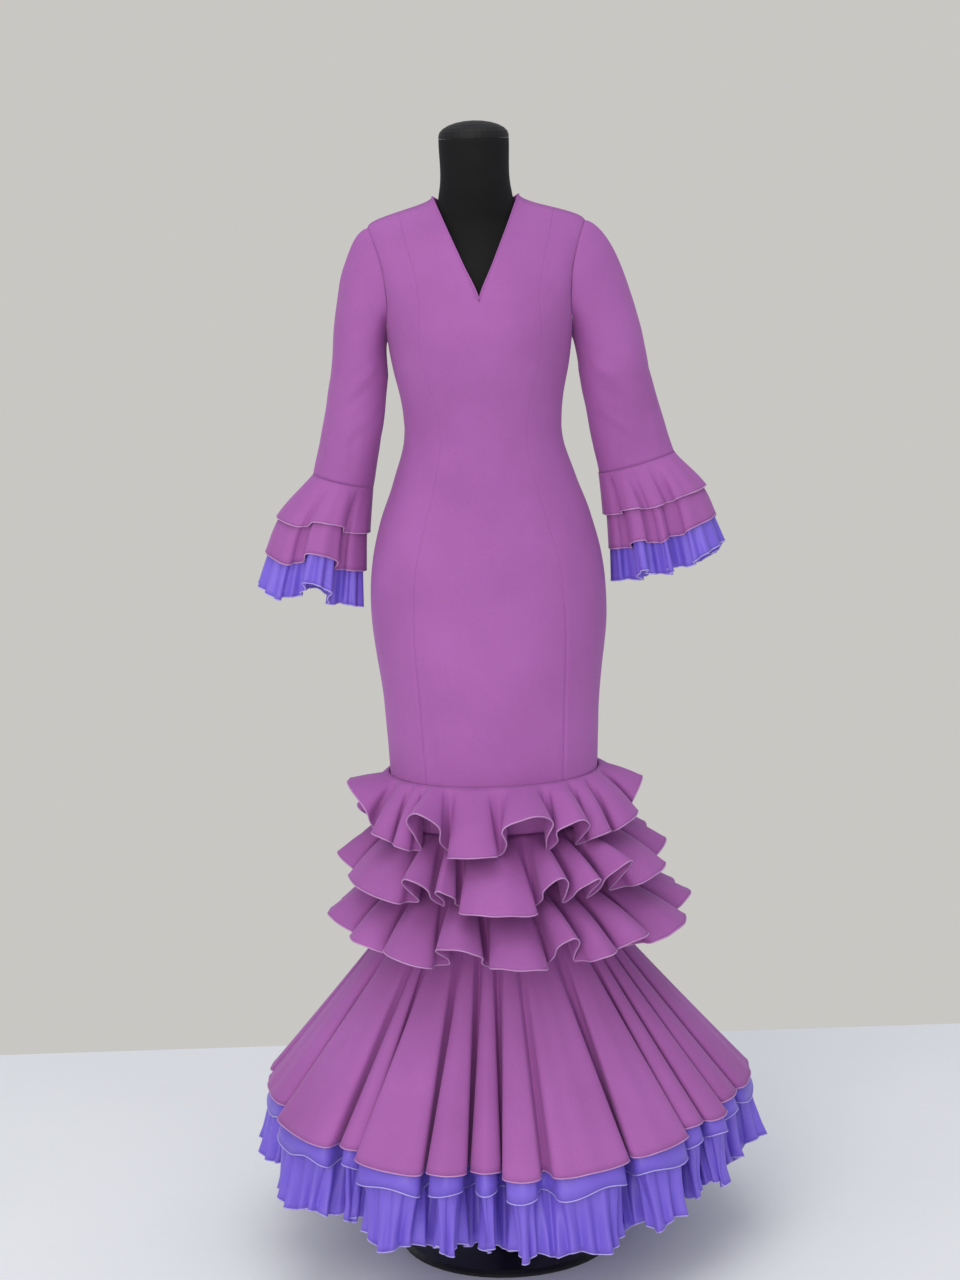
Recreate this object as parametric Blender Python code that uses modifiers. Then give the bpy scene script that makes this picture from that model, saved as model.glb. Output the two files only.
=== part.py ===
"""Flamenco dress on a limbless dress form.

A mermaid-cut crepe dress with long sleeves: three short circular flounces at the knee, a long
circular flounce with godet folds, a violet underskirt with a gathered frill, and cuffs of two
circular ruffles over a violet frill. It stands on a plain padded form with a pole and round base.

Frame: metres, +Z up, the wearer's front faces -Y, origin under the middle of the base plate.
Angles round the dress are in degrees, 0 at the front (-Y) and growing towards +X.
"""
import math
from collections import namedtuple

import bmesh
import bpy
from mathutils import Vector

# Walls and gaps
BODY_WALL = 0.0020
FLOUNCE_WALL = 0.0016
FRILL_WALL = 0.0013
SEAM_GAP = 0.0003
SEAM_HALF = 0.00028           # half a panel seam's gap, with what slanted walls take of it
FORM_CLEARANCE = 0.007        # dress form to the middle of the dress's wall

# Heights above the floor
HEM_Z = 0.120                 # violet frill
UNDERSKIRT_HEM_Z = 0.205      # violet upper tier
SKIRT_HEM_Z = 0.235           # long crepe flounce
SKIRT_MIDDLE_Z = 0.420
SKIRT_SEAM_Z = 0.545          # body to long flounce
UNDERSKIRT_SEAM_Z = 0.525
FORM_BOTTOM_Z = 0.820
NECK_TOP_Z = 1.715

# Stand
BASE_RADIUS = 0.170
BASE_HEIGHT = 0.014
BASE_EDGE = 0.005
COLLAR_RADIUS = 0.030
COLLAR_HEIGHT = 0.050
POLE_RADIUS = 0.0125
BASE_PROFILE = (              # radius, height, top to bottom
    (0.0, BASE_HEIGHT + COLLAR_HEIGHT),
    (COLLAR_RADIUS - 0.006, BASE_HEIGHT + COLLAR_HEIGHT),
    (COLLAR_RADIUS - 0.004, BASE_HEIGHT + 0.012),
    (COLLAR_RADIUS + 0.008, BASE_HEIGHT),
    (BASE_RADIUS - BASE_EDGE, BASE_HEIGHT - 0.004),
    (BASE_RADIUS, BASE_HEIGHT - 0.004 - BASE_EDGE),
    (BASE_RADIUS, 0.0),
    (0.0, 0.0),
)
CAP_HEIGHT = 0.026
CAP_FOOT = 0.004              # straight foot under the cap's dome
CAP_RINGS = 6
TORSO_TUCK = 0.034            # how far the torso's flat underside is set in
TORSO_ROUND = 0.020           # height and depth of its rounded lower edge
TORSO_COLUMNS = 32
TURNED_SIDES = 48
CAP_SIDES = 32
POLE_SIDES = 20

Ring = namedtuple("Ring", "z half_width front_depth back_depth square centre_x centre_y tilt")
Fold = namedtuple("Fold", "valley mouth pocket depth reach rise lean")
Row = namedtuple("Row", "inner outer square princess")

# Body sections, hem to underarm.
# z, half width, front depth, back depth, squareness, princess seam as a share of the quarter
BODY_SECTIONS = (
    (0.545, 0.1500, 0.1300, 0.1280, 2.10, 0.43),
    (0.765, 0.1585, 0.1335, 0.1320, 2.20, 0.43),
    (0.870, 0.1640, 0.1325, 0.1345, 2.25, 0.43),
    (1.035, 0.1780, 0.1270, 0.1400, 2.20, 0.41),
    (1.100, 0.1715, 0.1210, 0.1310, 2.15, 0.40),
    (1.150, 0.1590, 0.1130, 0.1180, 2.10, 0.38),
    (1.210, 0.1370, 0.1030, 0.1000, 2.10, 0.36),
    (1.275, 0.1185, 0.0960, 0.0880, 2.10, 0.35),
    (1.330, 0.1205, 0.1050, 0.0890, 2.20, 0.37),
    (1.380, 0.1300, 0.1200, 0.0960, 2.30, 0.41),
    (1.420, 0.1365, 0.1230, 0.1020, 2.25, 0.43),
)

# Bodice above the underarm: inner edge (centre line, then neckline), outer edge (armhole)
SHOULDER_SET = 0.0012         # shoulder seam: front and back edges each stand off the middle
PRINCESS_HALF = 0.0012        # half a princess seam's gap, as a share of a quarter's width
FRONT_YOKE = (
    Row((0.0000, -0.1190, 1.452), (0.1370, -0.030, 1.447), 2.10, 0.44),
    Row((0.0000, -0.1110, 1.483), (0.1345, -0.052, 1.478), 1.90, 0.46),
    Row((0.0220, -0.0880, 1.535), (0.1380, -0.050, 1.520), 1.60, 0.48),
    Row((0.0430, -0.0550, 1.583), (0.1480, -0.033, 1.560), 1.35, 0.50),
    Row((0.0640, -SHOULDER_SET, 1.632), (0.1600, -SHOULDER_SET, 1.590), 1.10, 0.50),
)
BACK_YOKE = (
    Row((0.0000, 0.1040, 1.455), (0.1390, 0.028, 1.447), 2.10, 0.44),
    Row((0.0000, 0.1030, 1.495), (0.1410, 0.045, 1.485), 1.90, 0.46),
    Row((0.0000, 0.0960, 1.540), (0.1460, 0.044, 1.527), 1.70, 0.48),
    Row((0.0000, 0.0800, 1.580), (0.1530, 0.026, 1.563), 1.45, 0.50),
    Row((0.0120, 0.0660, 1.603), (0.1570, 0.012, 1.578), 1.25, 0.50),
    Row((0.0420, 0.0420, 1.618), (0.1590, 0.006, 1.586), 1.15, 0.50),
    Row((0.0640, SHOULDER_SET, 1.632), (0.1600, SHOULDER_SET, 1.590), 1.10, 0.50),
)

# Dress form above the underarm: z, half width, front depth, back depth, squareness
FORM_SECTIONS = (
    (1.420, 0.1285, 0.1140, 0.0940, 2.2),
    (1.483, 0.1290, 0.1010, 0.0930, 2.2),
    (1.535, 0.1290, 0.0760, 0.0780, 2.1),
    (1.560, 0.1200, 0.0540, 0.0560, 1.8),
    (1.580, 0.0980, 0.0450, 0.0460, 1.6),
    (1.598, 0.0740, 0.0420, 0.0430, 1.6),
    (1.615, 0.0600, 0.0440, 0.0450, 1.8),
    (1.640, 0.0535, 0.0500, 0.0500, 2.0),
    (NECK_TOP_Z, 0.0520, 0.0520, 0.0520, 2.0),
)

FRONT_COLUMNS = 3             # quads across each front panel's half, and across each back panel
BACK_COLUMNS = 5

# Sleeve sections, upper arm to cuff seam: z, centre x, centre y, half width, half depth, tilt
SLEEVE_SECTIONS = {
    "left": (
        (1.370, -0.1830, 0.000, 0.0435, 0.0520, 0.00),
        (1.300, -0.1950, 0.010, 0.0440, 0.0500, -0.10),
        (1.213, -0.2140, 0.024, 0.0445, 0.0490, -0.25),
    ),
    "right": (
        (1.370, 0.1980, 0.000, 0.0520, 0.0500, 0.00),
        (1.300, 0.2140, 0.010, 0.0550, 0.0430, 0.10),
        (1.226, 0.2310, 0.022, 0.0575, 0.0370, 0.25),
    ),
}
SIDE_SIGN = {"left": -1, "right": 1}

# Sleeve cap: how far it starts off the armhole, and how it leaves the armhole and meets the arm,
# each at the underarm and with what the shoulder adds (metres)
CAP_START = (0.0028, -0.0016)
CAP_LEAVE_OUT = (0.003, 0.034)
CAP_LEAVE_UP = (0.000, -0.008)
CAP_ARRIVE_OUT = (0.000, -0.012)
CAP_ARRIVE_UP = (0.018, 0.087)
CAP_STEPS = (0.0, 0.3, 0.65)

# Cuffs: violet frill's hem ring, and the nested layers
CUFF_HEM = {
    "left": Ring(1.036, 0.0920, 0.090, 0.085, 2.0, -0.267, 0.040, -0.20),
    "right": Ring(1.062, 0.0930, 0.085, 0.080, 2.0, 0.276, 0.036, 0.20),
}
CUFF_LAYERS = (
    ("upper", 0.0, (0.0, 0.38)),
    ("lower", 0.0050, (0.0, 0.38, 0.70)),
    ("frill", 0.0095, (0.38, 0.70, 1.0)),
)                             # layer, inset, rows as shares of the whole drop
CUFF_FLARE = ((0.0, 0.0), (0.38, 0.58), (0.70, 0.82), (1.0, 1.0))
NARROW_CROWN = 20.5           # degrees: a narrower crown needs no point at its middle
CUFF_CLEARANCE = 0.004        # hip to the middle of the cuff's outer layer

# Folds are one row each: angle of the valley, its mouth, its pocket and its depth; how far the
# crown that follows it reaches past the hem ring, how far its lip is lifted, and how much higher
# its lip is at its far side than at its near side (metres).
MOUTH_SET = 0.12              # shares of a fold's depth at which its mouth and pocket are set in
POCKET_SET = 0.62
MOUTH_RISE = 0.72             # shares of a crown's lift that its mouth and pocket points take
POCKET_RISE = 0.30
CUFF_FOLDS = {
    "left": (
        Fold(-100, 0.020, 0.012, 0.022, 0.004, 0.000, -0.010),
        Fold(-22, 0.018, 0.012, 0.026, 0.006, 0.030, -0.004),
        Fold(34, 0.012, 0.012, 0.034, -0.006, 0.000, 0.000),
        Fold(104, 0.024, 0.014, 0.024, -0.002, 0.004, 0.000),
        Fold(150, 0.020, 0.010, 0.022, 0.004, 0.010, 0.000),
        Fold(205, 0.020, 0.010, 0.022, 0.000, 0.000, 0.000),
    ),
    "right": (
        Fold(-50, 0.014, 0.010, 0.026, 0.004, 0.014, 0.000),
        Fold(-14, 0.012, 0.010, 0.026, -0.010, 0.000, 0.000),
        Fold(15, 0.012, 0.012, 0.030, 0.006, 0.020, 0.012),
        Fold(92, 0.022, 0.012, 0.018, 0.000, 0.004, 0.000),
        Fold(150, 0.020, 0.010, 0.022, 0.004, 0.010, 0.000),
        Fold(215, 0.020, 0.010, 0.022, 0.000, 0.000, 0.000),
    ),
}

# Knee flounces: seam height, hem ring, rise of the hem for each metre it stands further out
Flounce = namedtuple("Flounce", "seam_z hem lift folds")
KNEE_FLOUNCES = {
    "flounce_top": Flounce(0.765, Ring(0.692, 0.222, 0.226, 0.222, 2.0, 0.000, 0.0, 0.0), 0.45, (
        Fold(-63, 0.010, 0.020, 0.036, 0.002, 0.004, -0.006),
        Fold(-48, 0.010, 0.016, 0.040, 0.002, -0.004, -0.010),
        Fold(-36, 0.008, 0.014, 0.044, 0.010, 0.046, -0.004),
        Fold(-23, 0.010, 0.016, 0.050, 0.004, -0.006, 0.004),
        Fold(1, 0.008, 0.022, 0.052, 0.014, 0.044, 0.008),
        Fold(24, 0.010, 0.020, 0.048, 0.006, 0.030, -0.004),
        Fold(42, 0.008, 0.016, 0.046, 0.000, 0.002, 0.004),
        Fold(56, 0.010, 0.018, 0.044, 0.008, 0.006, 0.012),
        Fold(78, 0.010, 0.020, 0.036, 0.004, 0.034, 0.010),
        Fold(104, 0.010, 0.020, 0.034, 0.006, 0.020, -0.010),
        Fold(128, 0.010, 0.022, 0.050, 0.000, 0.000, 0.000),
        Fold(156, 0.010, 0.018, 0.046, 0.008, 0.030, 0.004),
        Fold(181, 0.010, 0.022, 0.048, 0.002, -0.004, 0.000),
        Fold(209, 0.010, 0.020, 0.050, 0.006, 0.026, -0.004),
        Fold(236, 0.010, 0.020, 0.040, 0.000, 0.006, 0.010),
        Fold(264, 0.010, 0.022, 0.034, 0.004, 0.044, -0.024),
    )),
    "flounce_middle": Flounce(0.690, Ring(0.618, 0.252, 0.256, 0.250, 2.0, 0.010, 0.0, 0.0), 0.40, (
        Fold(-78, 0.010, 0.022, 0.060, 0.004, -0.004, -0.016),
        Fold(-37, 0.010, 0.018, 0.056, 0.006, 0.014, -0.006),
        Fold(-27, 0.010, 0.014, 0.056, 0.000, 0.010, -0.006),
        Fold(-18, 0.010, 0.018, 0.064, 0.008, -0.008, -0.006),
        Fold(12, 0.010, 0.018, 0.060, 0.004, 0.020, 0.014),
        Fold(25, 0.018, 0.014, 0.054, 0.002, 0.018, 0.006),
        Fold(38, 0.010, 0.018, 0.060, 0.006, 0.026, 0.010),
        Fold(53, 0.010, 0.020, 0.062, 0.010, 0.000, 0.012),
        Fold(80, 0.010, 0.022, 0.060, 0.002, 0.012, 0.006),
        Fold(108, 0.010, 0.020, 0.064, 0.006, 0.016, 0.000),
        Fold(131, 0.010, 0.022, 0.058, 0.000, -0.004, 0.000),
        Fold(158, 0.010, 0.020, 0.062, 0.008, 0.024, 0.004),
        Fold(186, 0.010, 0.022, 0.060, 0.002, 0.000, 0.000),
        Fold(212, 0.010, 0.018, 0.064, 0.006, 0.020, -0.004),
        Fold(238, 0.010, 0.022, 0.058, 0.002, 0.006, 0.000),
        Fold(262, 0.010, 0.020, 0.062, 0.004, 0.012, -0.004),
    )),
    "flounce_low": Flounce(0.612, Ring(0.534, 0.278, 0.282, 0.272, 2.0, 0.018, 0.0, 0.0), 0.35, (
        Fold(-68, 0.010, 0.020, 0.074, 0.004, 0.004, -0.010),
        Fold(-48, 0.010, 0.018, 0.070, 0.008, -0.002, -0.018),
        Fold(-27, 0.010, 0.020, 0.076, 0.004, 0.010, -0.004),
        Fold(-9, 0.010, 0.020, 0.074, 0.008, 0.004, -0.006),
        Fold(13, 0.018, 0.010, 0.062, 0.002, 0.026, 0.002),
        Fold(24, 0.018, 0.012, 0.062, 0.006, 0.000, 0.010),
        Fold(37, 0.010, 0.018, 0.070, 0.002, 0.002, 0.008),
        Fold(52, 0.010, 0.020, 0.074, 0.010, 0.004, 0.016),
        Fold(78, 0.010, 0.022, 0.072, 0.004, 0.014, 0.004),
        Fold(102, 0.020, 0.014, 0.060, 0.006, 0.010, 0.000),
        Fold(127, 0.010, 0.020, 0.070, 0.000, 0.000, 0.000),
        Fold(152, 0.010, 0.022, 0.074, 0.008, 0.022, 0.004),
        Fold(180, 0.010, 0.020, 0.072, 0.002, -0.002, 0.000),
        Fold(206, 0.010, 0.022, 0.076, 0.006, 0.018, -0.004),
        Fold(233, 0.010, 0.020, 0.070, 0.002, 0.002, 0.000),
        Fold(264, 0.010, 0.022, 0.072, 0.006, 0.010, -0.004),
    )),
}

# Skirt: the frill's hem ring, the godet folds that all its layers share, and each layer's inset
SKIRT_HEM = Ring(HEM_Z, 0.408, 0.388, 0.385, 2.0, 0.004, 0.0, 0.0)
SKIRT_FLARE = 0.875           # share of the flare that the long flounce's hem has reached
SKIRT_LIFT = 0.10
UNDERSKIRT_INSET = 0.0055
FRILL_INSET = 0.0110
SKIRT_FOLDS = (
    Fold(-70, 0.012, 0.018, 0.075, 0.004, 0.000, 0.000),
    Fold(-45, 0.010, 0.014, 0.060, -0.006, 0.000, 0.000),
    Fold(-38, 0.010, 0.014, 0.065, 0.004, 0.000, 0.000),
    Fold(-20, 0.010, 0.016, 0.070, 0.000, 0.000, 0.000),
    Fold(-10, 0.016, 0.014, 0.085, -0.010, 0.000, 0.000),
    Fold(-2, 0.010, 0.012, 0.080, 0.006, 0.000, 0.000),
    Fold(8, 0.010, 0.016, 0.070, 0.000, 0.000, 0.000),
    Fold(29, 0.012, 0.018, 0.075, 0.004, 0.000, 0.000),
    Fold(46, 0.010, 0.014, 0.065, 0.000, 0.000, 0.000),
    Fold(54, 0.010, 0.014, 0.060, 0.004, 0.000, 0.000),
    Fold(63, 0.010, 0.014, 0.065, 0.000, 0.000, 0.000),
    Fold(74, 0.010, 0.016, 0.070, 0.004, 0.000, 0.000),
    Fold(97, 0.012, 0.018, 0.075, 0.000, 0.000, 0.000),
    Fold(124, 0.012, 0.016, 0.070, 0.006, 0.000, 0.000),
    Fold(151, 0.012, 0.018, 0.080, 0.000, 0.000, 0.000),
    Fold(180, 0.012, 0.016, 0.070, 0.004, 0.000, 0.000),
    Fold(208, 0.012, 0.018, 0.075, 0.000, 0.000, 0.000),
    Fold(237, 0.012, 0.016, 0.080, 0.006, 0.000, 0.000),
    Fold(264, 0.012, 0.018, 0.070, -0.004, 0.000, 0.000),
)

COLOURS = {                   # linear red, green, blue; roughness
    "mauve crepe": (0.31, 0.10, 0.29, 0.85),
    "violet taffeta": (0.16, 0.09, 0.53, 0.55),
    "black jersey": (0.006, 0.006, 0.007, 0.80),
    "black enamel": (0.012, 0.012, 0.013, 0.40),
}


def clear_scene():
    for old in list(bpy.data.objects):
        bpy.data.objects.remove(old, do_unlink=True)


def make_material(name):
    *colour, roughness = COLOURS[name]
    material = bpy.data.materials.new(name)
    material.use_nodes = True
    shader = material.node_tree.nodes["Principled BSDF"]
    shader.inputs["Base Color"].default_value = (*colour, 1.0)
    shader.inputs["Roughness"].default_value = roughness
    shader.inputs["Metallic"].default_value = 0.0
    return material


def between(table, x):
    """Linear reading of a two-column table."""
    for (x0, y0), (x1, y1) in zip(table, table[1:]):
        if x <= x1:
            return y0 + (y1 - y0) * (x - x0) / (x1 - x0)
    return table[-1][1]


def body_ring(z, inset=0.0):
    """The body's section at a height, moved in by inset."""
    values = [between([(row[0], row[column]) for row in BODY_SECTIONS], z) for column in range(1, 5)]
    half_width, front, back, square = values
    return Ring(z, half_width - inset, front - inset, back - inset, square, 0.0, 0.0, 0.0)


def power(value, exponent):
    """A power that keeps the sign."""
    return math.copysign(abs(value) ** exponent, value)


def ring_frame(ring, degrees):
    """Point on a ring, with the level directions along it and out of it."""
    sine, cosine = math.sin(math.radians(degrees)), math.cos(math.radians(degrees))
    depth = ring.front_depth if cosine > 0 else ring.back_depth
    x = ring.half_width * power(sine, 2 / ring.square)
    y = -depth * power(cosine, 2 / ring.square)
    point = Vector((ring.centre_x + x, ring.centre_y + y, ring.z + ring.tilt * x))
    outward = Vector((power(x / ring.half_width, ring.square - 1) / ring.half_width,
                      power(y / depth, ring.square - 1) / depth, 0.0)).normalized()
    along = Vector((-outward.y, outward.x, 0.0))
    return point, along, outward


def fold_point(ring, degrees, across, reach, lift, rise):
    point, along, outward = ring_frame(ring, degrees)
    return point + along * across + outward * reach + Vector((0.0, 0.0, lift * reach + rise))


def folded_hem(ring, folds, inset=0.0, lift=0.0):
    """Hem points of a folded layer, each with the seam angle that it hangs from."""
    cells = []
    for index, fold in enumerate(folds):
        before = folds[index - 1]
        half_mouth, half_pocket = fold.mouth / 2 + inset, fold.pocket / 2 + inset
        mouth_in, pocket_in = MOUTH_SET * fold.depth + inset, POCKET_SET * fold.depth + inset
        rise_before, rise_after = before.rise + before.lean / 2, fold.rise - fold.lean / 2
        left = [
            fold_point(ring, fold.valley, -half_mouth, before.reach - mouth_in, lift,
                       MOUTH_RISE * rise_before),
            fold_point(ring, fold.valley, -half_pocket, before.reach - pocket_in, lift,
                       POCKET_RISE * rise_before),
        ]
        bottom_reach = (before.reach + fold.reach) / 2 - fold.depth - inset
        bottom = fold_point(ring, fold.valley, 0.0, bottom_reach, lift, 0.0)
        right = [
            fold_point(ring, fold.valley, half_pocket, fold.reach - pocket_in, lift,
                       POCKET_RISE * rise_after),
            fold_point(ring, fold.valley, half_mouth, fold.reach - mouth_in, lift,
                       MOUTH_RISE * rise_after),
        ]
        cells.append((left, bottom, right))
    hem = []
    for index, fold in enumerate(folds):
        following = (index + 1) % len(folds)
        start = fold.valley
        end = folds[following].valley + (360 if following == 0 else 0)
        crown = [fold_point(ring, (start + end) / 2, 0.0, fold.reach - inset, lift, fold.rise)]
        if end - start < NARROW_CROWN:
            crown = []
        points = [cells[index][1], *cells[index][2], *crown, *cells[following][0], cells[following][1]]
        lengths = [0.0]
        for one, two in zip(points, points[1:]):
            lengths.append(lengths[-1] + (two - one).length)
        hem += [(point, start + (end - start) * length / lengths[-1])
                for point, length in zip(points[:-1], lengths)]
    return hem


def flared_rows(seam_ring, hem, flare, shares):
    """Rows of a flared layer from its seam ring to its hem, at the given shares of the drop."""
    rows = []
    for share in shares:
        out = between(flare, share)
        row = []
        for point, degrees in hem:
            seam = ring_frame(seam_ring, degrees)[0]
            row.append(Vector((seam.x + (point.x - seam.x) * out,
                               seam.y + (point.y - seam.y) * out,
                               seam.z + (point.z - seam.z) * share)))
        rows.append(row)
    return rows


def clear_of_body(point, gap):
    """Moves a point out of the body's side, so that a cuff hangs just beside the hip."""
    ring = body_ring(point.z)
    depth = ring.front_depth if point.y < 0 else ring.back_depth
    reach = (abs(point.x / (ring.half_width + gap)) ** ring.square
             + abs(point.y / (depth + gap)) ** ring.square) ** (1 / ring.square)
    if reach >= 1 or reach == 0:
        return point
    return Vector((point.x / reach, point.y / reach, point.z))


def steps(start, end, count):
    return [start + (end - start) * index / count for index in range(count + 1)]


def add_object(name, mesh, material, collection):
    item = bpy.data.objects.new(name, mesh)
    mesh.materials.append(material)
    mesh.shade_smooth()
    collection.objects.link(item)
    return item


def cloth(name, faces, wall, material, collection):
    """An open sheet, given as quads of points, made a wall with Solidify."""
    sheet = bmesh.new()
    known = {}
    for quad in faces:
        corners = []
        for point in quad:
            key = tuple(round(value, 6) for value in point)
            if key not in known:
                known[key] = sheet.verts.new(point)
            corners.append(known[key])
        sheet.faces.new(corners)
    mesh = bpy.data.meshes.new(name)
    sheet.to_mesh(mesh)
    sheet.free()
    item = add_object(name, mesh, material, collection)
    solid = item.modifiers.new("cloth wall", "SOLIDIFY")
    solid.thickness = wall
    solid.offset = 0.0
    return item


def quads(rows, closed):
    """Quads between rows that run downwards, facing out when the rows run from front to +X."""
    faces = []
    for upper, lower in zip(rows, rows[1:]):
        count = len(upper)
        for index in range(count if closed else count - 1):
            following = (index + 1) % count
            faces.append((upper[index], lower[index], lower[following], upper[following]))
    return faces


def body_rows(front):
    """All rows of the body's front or back, hem to shoulder seam."""
    facing = -1 if front else 1
    rows = []
    for z, half_width, front_depth, back_depth, square, princess in BODY_SECTIONS:
        depth = front_depth if front else back_depth
        rows.append(Row((0.0, facing * depth, z), (half_width, 0.0, z), square, princess))
    return rows + list(FRONT_YOKE if front else BACK_YOKE)


def row_point(row, share, side, front):
    """Point of a body row, share 0 at its inner edge and 1 at its outer edge."""
    inner, outer = Vector(row.inner), Vector(row.outer)
    sine, cosine = math.sin(share * math.pi / 2), math.cos(share * math.pi / 2)
    x = inner.x + (outer.x - inner.x) * sine ** (2 / row.square)
    y = outer.y + (inner.y - outer.y) * cosine ** (2 / row.square)
    z = inner.z + (outer.z - inner.z) * share
    return Vector((side * x, y + SEAM_HALF * (-1 if front else 1), z))


def make_body(crepe, collection):
    """Front in three panels with princess seams, back in two with a centre seam."""
    front, back = body_rows(True), body_rows(False)
    faces = []
    for side in (-1, 1):
        rows = [[row_point(row, share * (row.princess - PRINCESS_HALF), side, True)
                 for share in steps(0, 1, FRONT_COLUMNS)] for row in reversed(front)]
        faces += quads(rows if side > 0 else [row[::-1] for row in rows], False)
    cloth("body_front_centre", faces, BODY_WALL, crepe, collection)
    for side, name in ((-1, "left"), (1, "right")):
        rows = [[row_point(row, share, side, True)
                 for share in steps(row.princess + PRINCESS_HALF, 1, FRONT_COLUMNS)]
                for row in reversed(front)]
        faces = quads(rows if side > 0 else [row[::-1] for row in rows], False)
        cloth(f"body_front_side_{name}", faces, BODY_WALL, crepe, collection)
        rows = [[row_point(row, share, side, False) + Vector((side * SEAM_HALF, 0.0, 0.0))
                 for share in steps(0, 1, BACK_COLUMNS)] for row in reversed(back)]
        faces = quads([row[::-1] for row in rows] if side > 0 else rows, False)
        cloth(f"body_back_{name}", faces, BODY_WALL, crepe, collection)


def armhole_ring(sign):
    """Points round an armhole as (share round from the underarm through the front, point)."""
    front, back = body_rows(True), body_rows(False)
    first = len(BODY_SECTIONS) - 1
    front_points = [Vector(row.outer) for row in front[first:]]
    back_points = [Vector(row.outer) for row in back[first:]]
    ring = []
    last = len(front_points) - 1
    for index in range(last):
        ring.append((0.5 * index / last, front_points[index]))
        ring.append((0.5 * (index + 0.5) / last, (front_points[index] + front_points[index + 1]) / 2))
    last = len(back_points) - 1
    top = (front_points[-1] + back_points[-1]) / 2
    ring.append((0.5, top))
    for index in range(last - 1, 0, -1):
        ring.append((1 - 0.5 * index / last, back_points[index]))
    return [(share, Vector((sign * point.x, point.y, point.z))) for share, point in ring]


def sleeve_ring_point(section, share, sign):
    z, centre_x, centre_y, half_width, half_depth, tilt = section
    turn = 2 * math.pi * share
    x = -half_width * math.cos(turn) * sign
    return Vector((centre_x + x, centre_y - half_depth * math.sin(turn), z + tilt * x))


def shaded(pair, over):
    """A base value and what the shoulder adds to it."""
    return pair[0] + pair[1] * over


def make_sleeve(name, crepe, collection):
    """A one-piece sleeve: a rounded cap from the armhole, then a tube to the cuff seam."""
    sign, sections = SIDE_SIGN[name], SLEEVE_SECTIONS[name]
    rows = []
    armhole = armhole_ring(sign)
    ahead, up = Vector((sign, 0.0, 0.0)), Vector((0.0, 0.0, 1.0))
    for step in CAP_STEPS:
        row = []
        for share, hole in armhole:
            over = (1 - math.cos(2 * math.pi * share)) / 2       # 0 at the underarm, 1 at the shoulder
            start = hole + ahead * shaded(CAP_START, over)
            end = sleeve_ring_point(sections[0], share, sign)
            leave = start + ahead * shaded(CAP_LEAVE_OUT, over) + up * shaded(CAP_LEAVE_UP, over)
            arrive = end + ahead * shaded(CAP_ARRIVE_OUT, over) + up * shaded(CAP_ARRIVE_UP, over)
            back = 1 - step
            row.append(start * back ** 3 + leave * (3 * back * back * step)
                       + arrive * (3 * back * step * step) + end * step ** 3)
        rows.append(row)
    for section in sections:
        rows.append([sleeve_ring_point(section, share, sign) for share, _ in armhole])
    faces = quads([row[::-1] for row in rows] if sign > 0 else rows, True)
    cloth(f"sleeve_{name}", faces, BODY_WALL, crepe, collection)


def make_cuff(name, crepe, taffeta, collection):
    """Two circular ruffles and a violet frill, nested, hanging from the sleeve's end."""
    z, centre_x, centre_y, half_width, half_depth, tilt = SLEEVE_SECTIONS[name][-1]
    for layer, inset, shares in CUFF_LAYERS:
        seam = Ring(z - BODY_WALL, half_width - inset, half_depth - inset, half_depth - inset,
                    2.0, centre_x, centre_y, tilt)
        hem = folded_hem(CUFF_HEM[name], CUFF_FOLDS[name], inset)
        rows = flared_rows(seam, hem, CUFF_FLARE, shares)
        rows = [[clear_of_body(point, CUFF_CLEARANCE + inset) for point in row] for row in rows]
        if layer == "frill":
            cloth(f"sleeve_frill_{name}", quads(rows, True), FRILL_WALL, taffeta, collection)
        else:
            cloth(f"sleeve_ruffle_{layer}_{name}", quads(rows, True), FLOUNCE_WALL, crepe, collection)


def make_knee_flounces(crepe, collection):
    """Three short circular flounces, each sewn on the outside of the body."""
    off_body = -(BODY_WALL / 2 + FLOUNCE_WALL / 2 + 2 * SEAM_GAP)
    straight = ((0.0, 0.0), (1.0, 1.0))
    for name, flounce in KNEE_FLOUNCES.items():
        hem = folded_hem(flounce.hem, flounce.folds, 0.0, flounce.lift)
        rows = flared_rows(body_ring(flounce.seam_z, off_body), hem, straight, (0.0, 1.0))
        cloth(name, quads(rows, True), FLOUNCE_WALL, crepe, collection)


def make_skirt(crepe, taffeta, collection):
    """The long flounce, the underskirt tier and its frill: one fold pattern, nested."""
    top = SKIRT_SEAM_Z - FLOUNCE_WALL
    layers = (
        ("skirt_flounce", (top, SKIRT_MIDDLE_Z, SKIRT_HEM_Z), 0.0, FLOUNCE_WALL, crepe),
        ("underskirt", (UNDERSKIRT_SEAM_Z, SKIRT_MIDDLE_Z, SKIRT_HEM_Z, UNDERSKIRT_HEM_Z),
         UNDERSKIRT_INSET, FRILL_WALL, taffeta),
        ("underskirt_frill", (SKIRT_HEM_Z, HEM_Z), FRILL_INSET, FRILL_WALL, taffeta),
    )
    flare = ((0.0, 0.0), ((top - SKIRT_HEM_Z) / (top - HEM_Z), SKIRT_FLARE), (1.0, 1.0))
    for name, heights, inset, wall, material in layers:
        hem = folded_hem(SKIRT_HEM, SKIRT_FOLDS, inset, SKIRT_LIFT)
        shares = [(top - z) / (top - HEM_Z) for z in heights]
        seam = body_ring(SKIRT_SEAM_Z, inset)._replace(z=top)
        rows = flared_rows(seam, hem, flare, shares)
        cloth(name, quads(rows, True), wall, material, collection)


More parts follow.
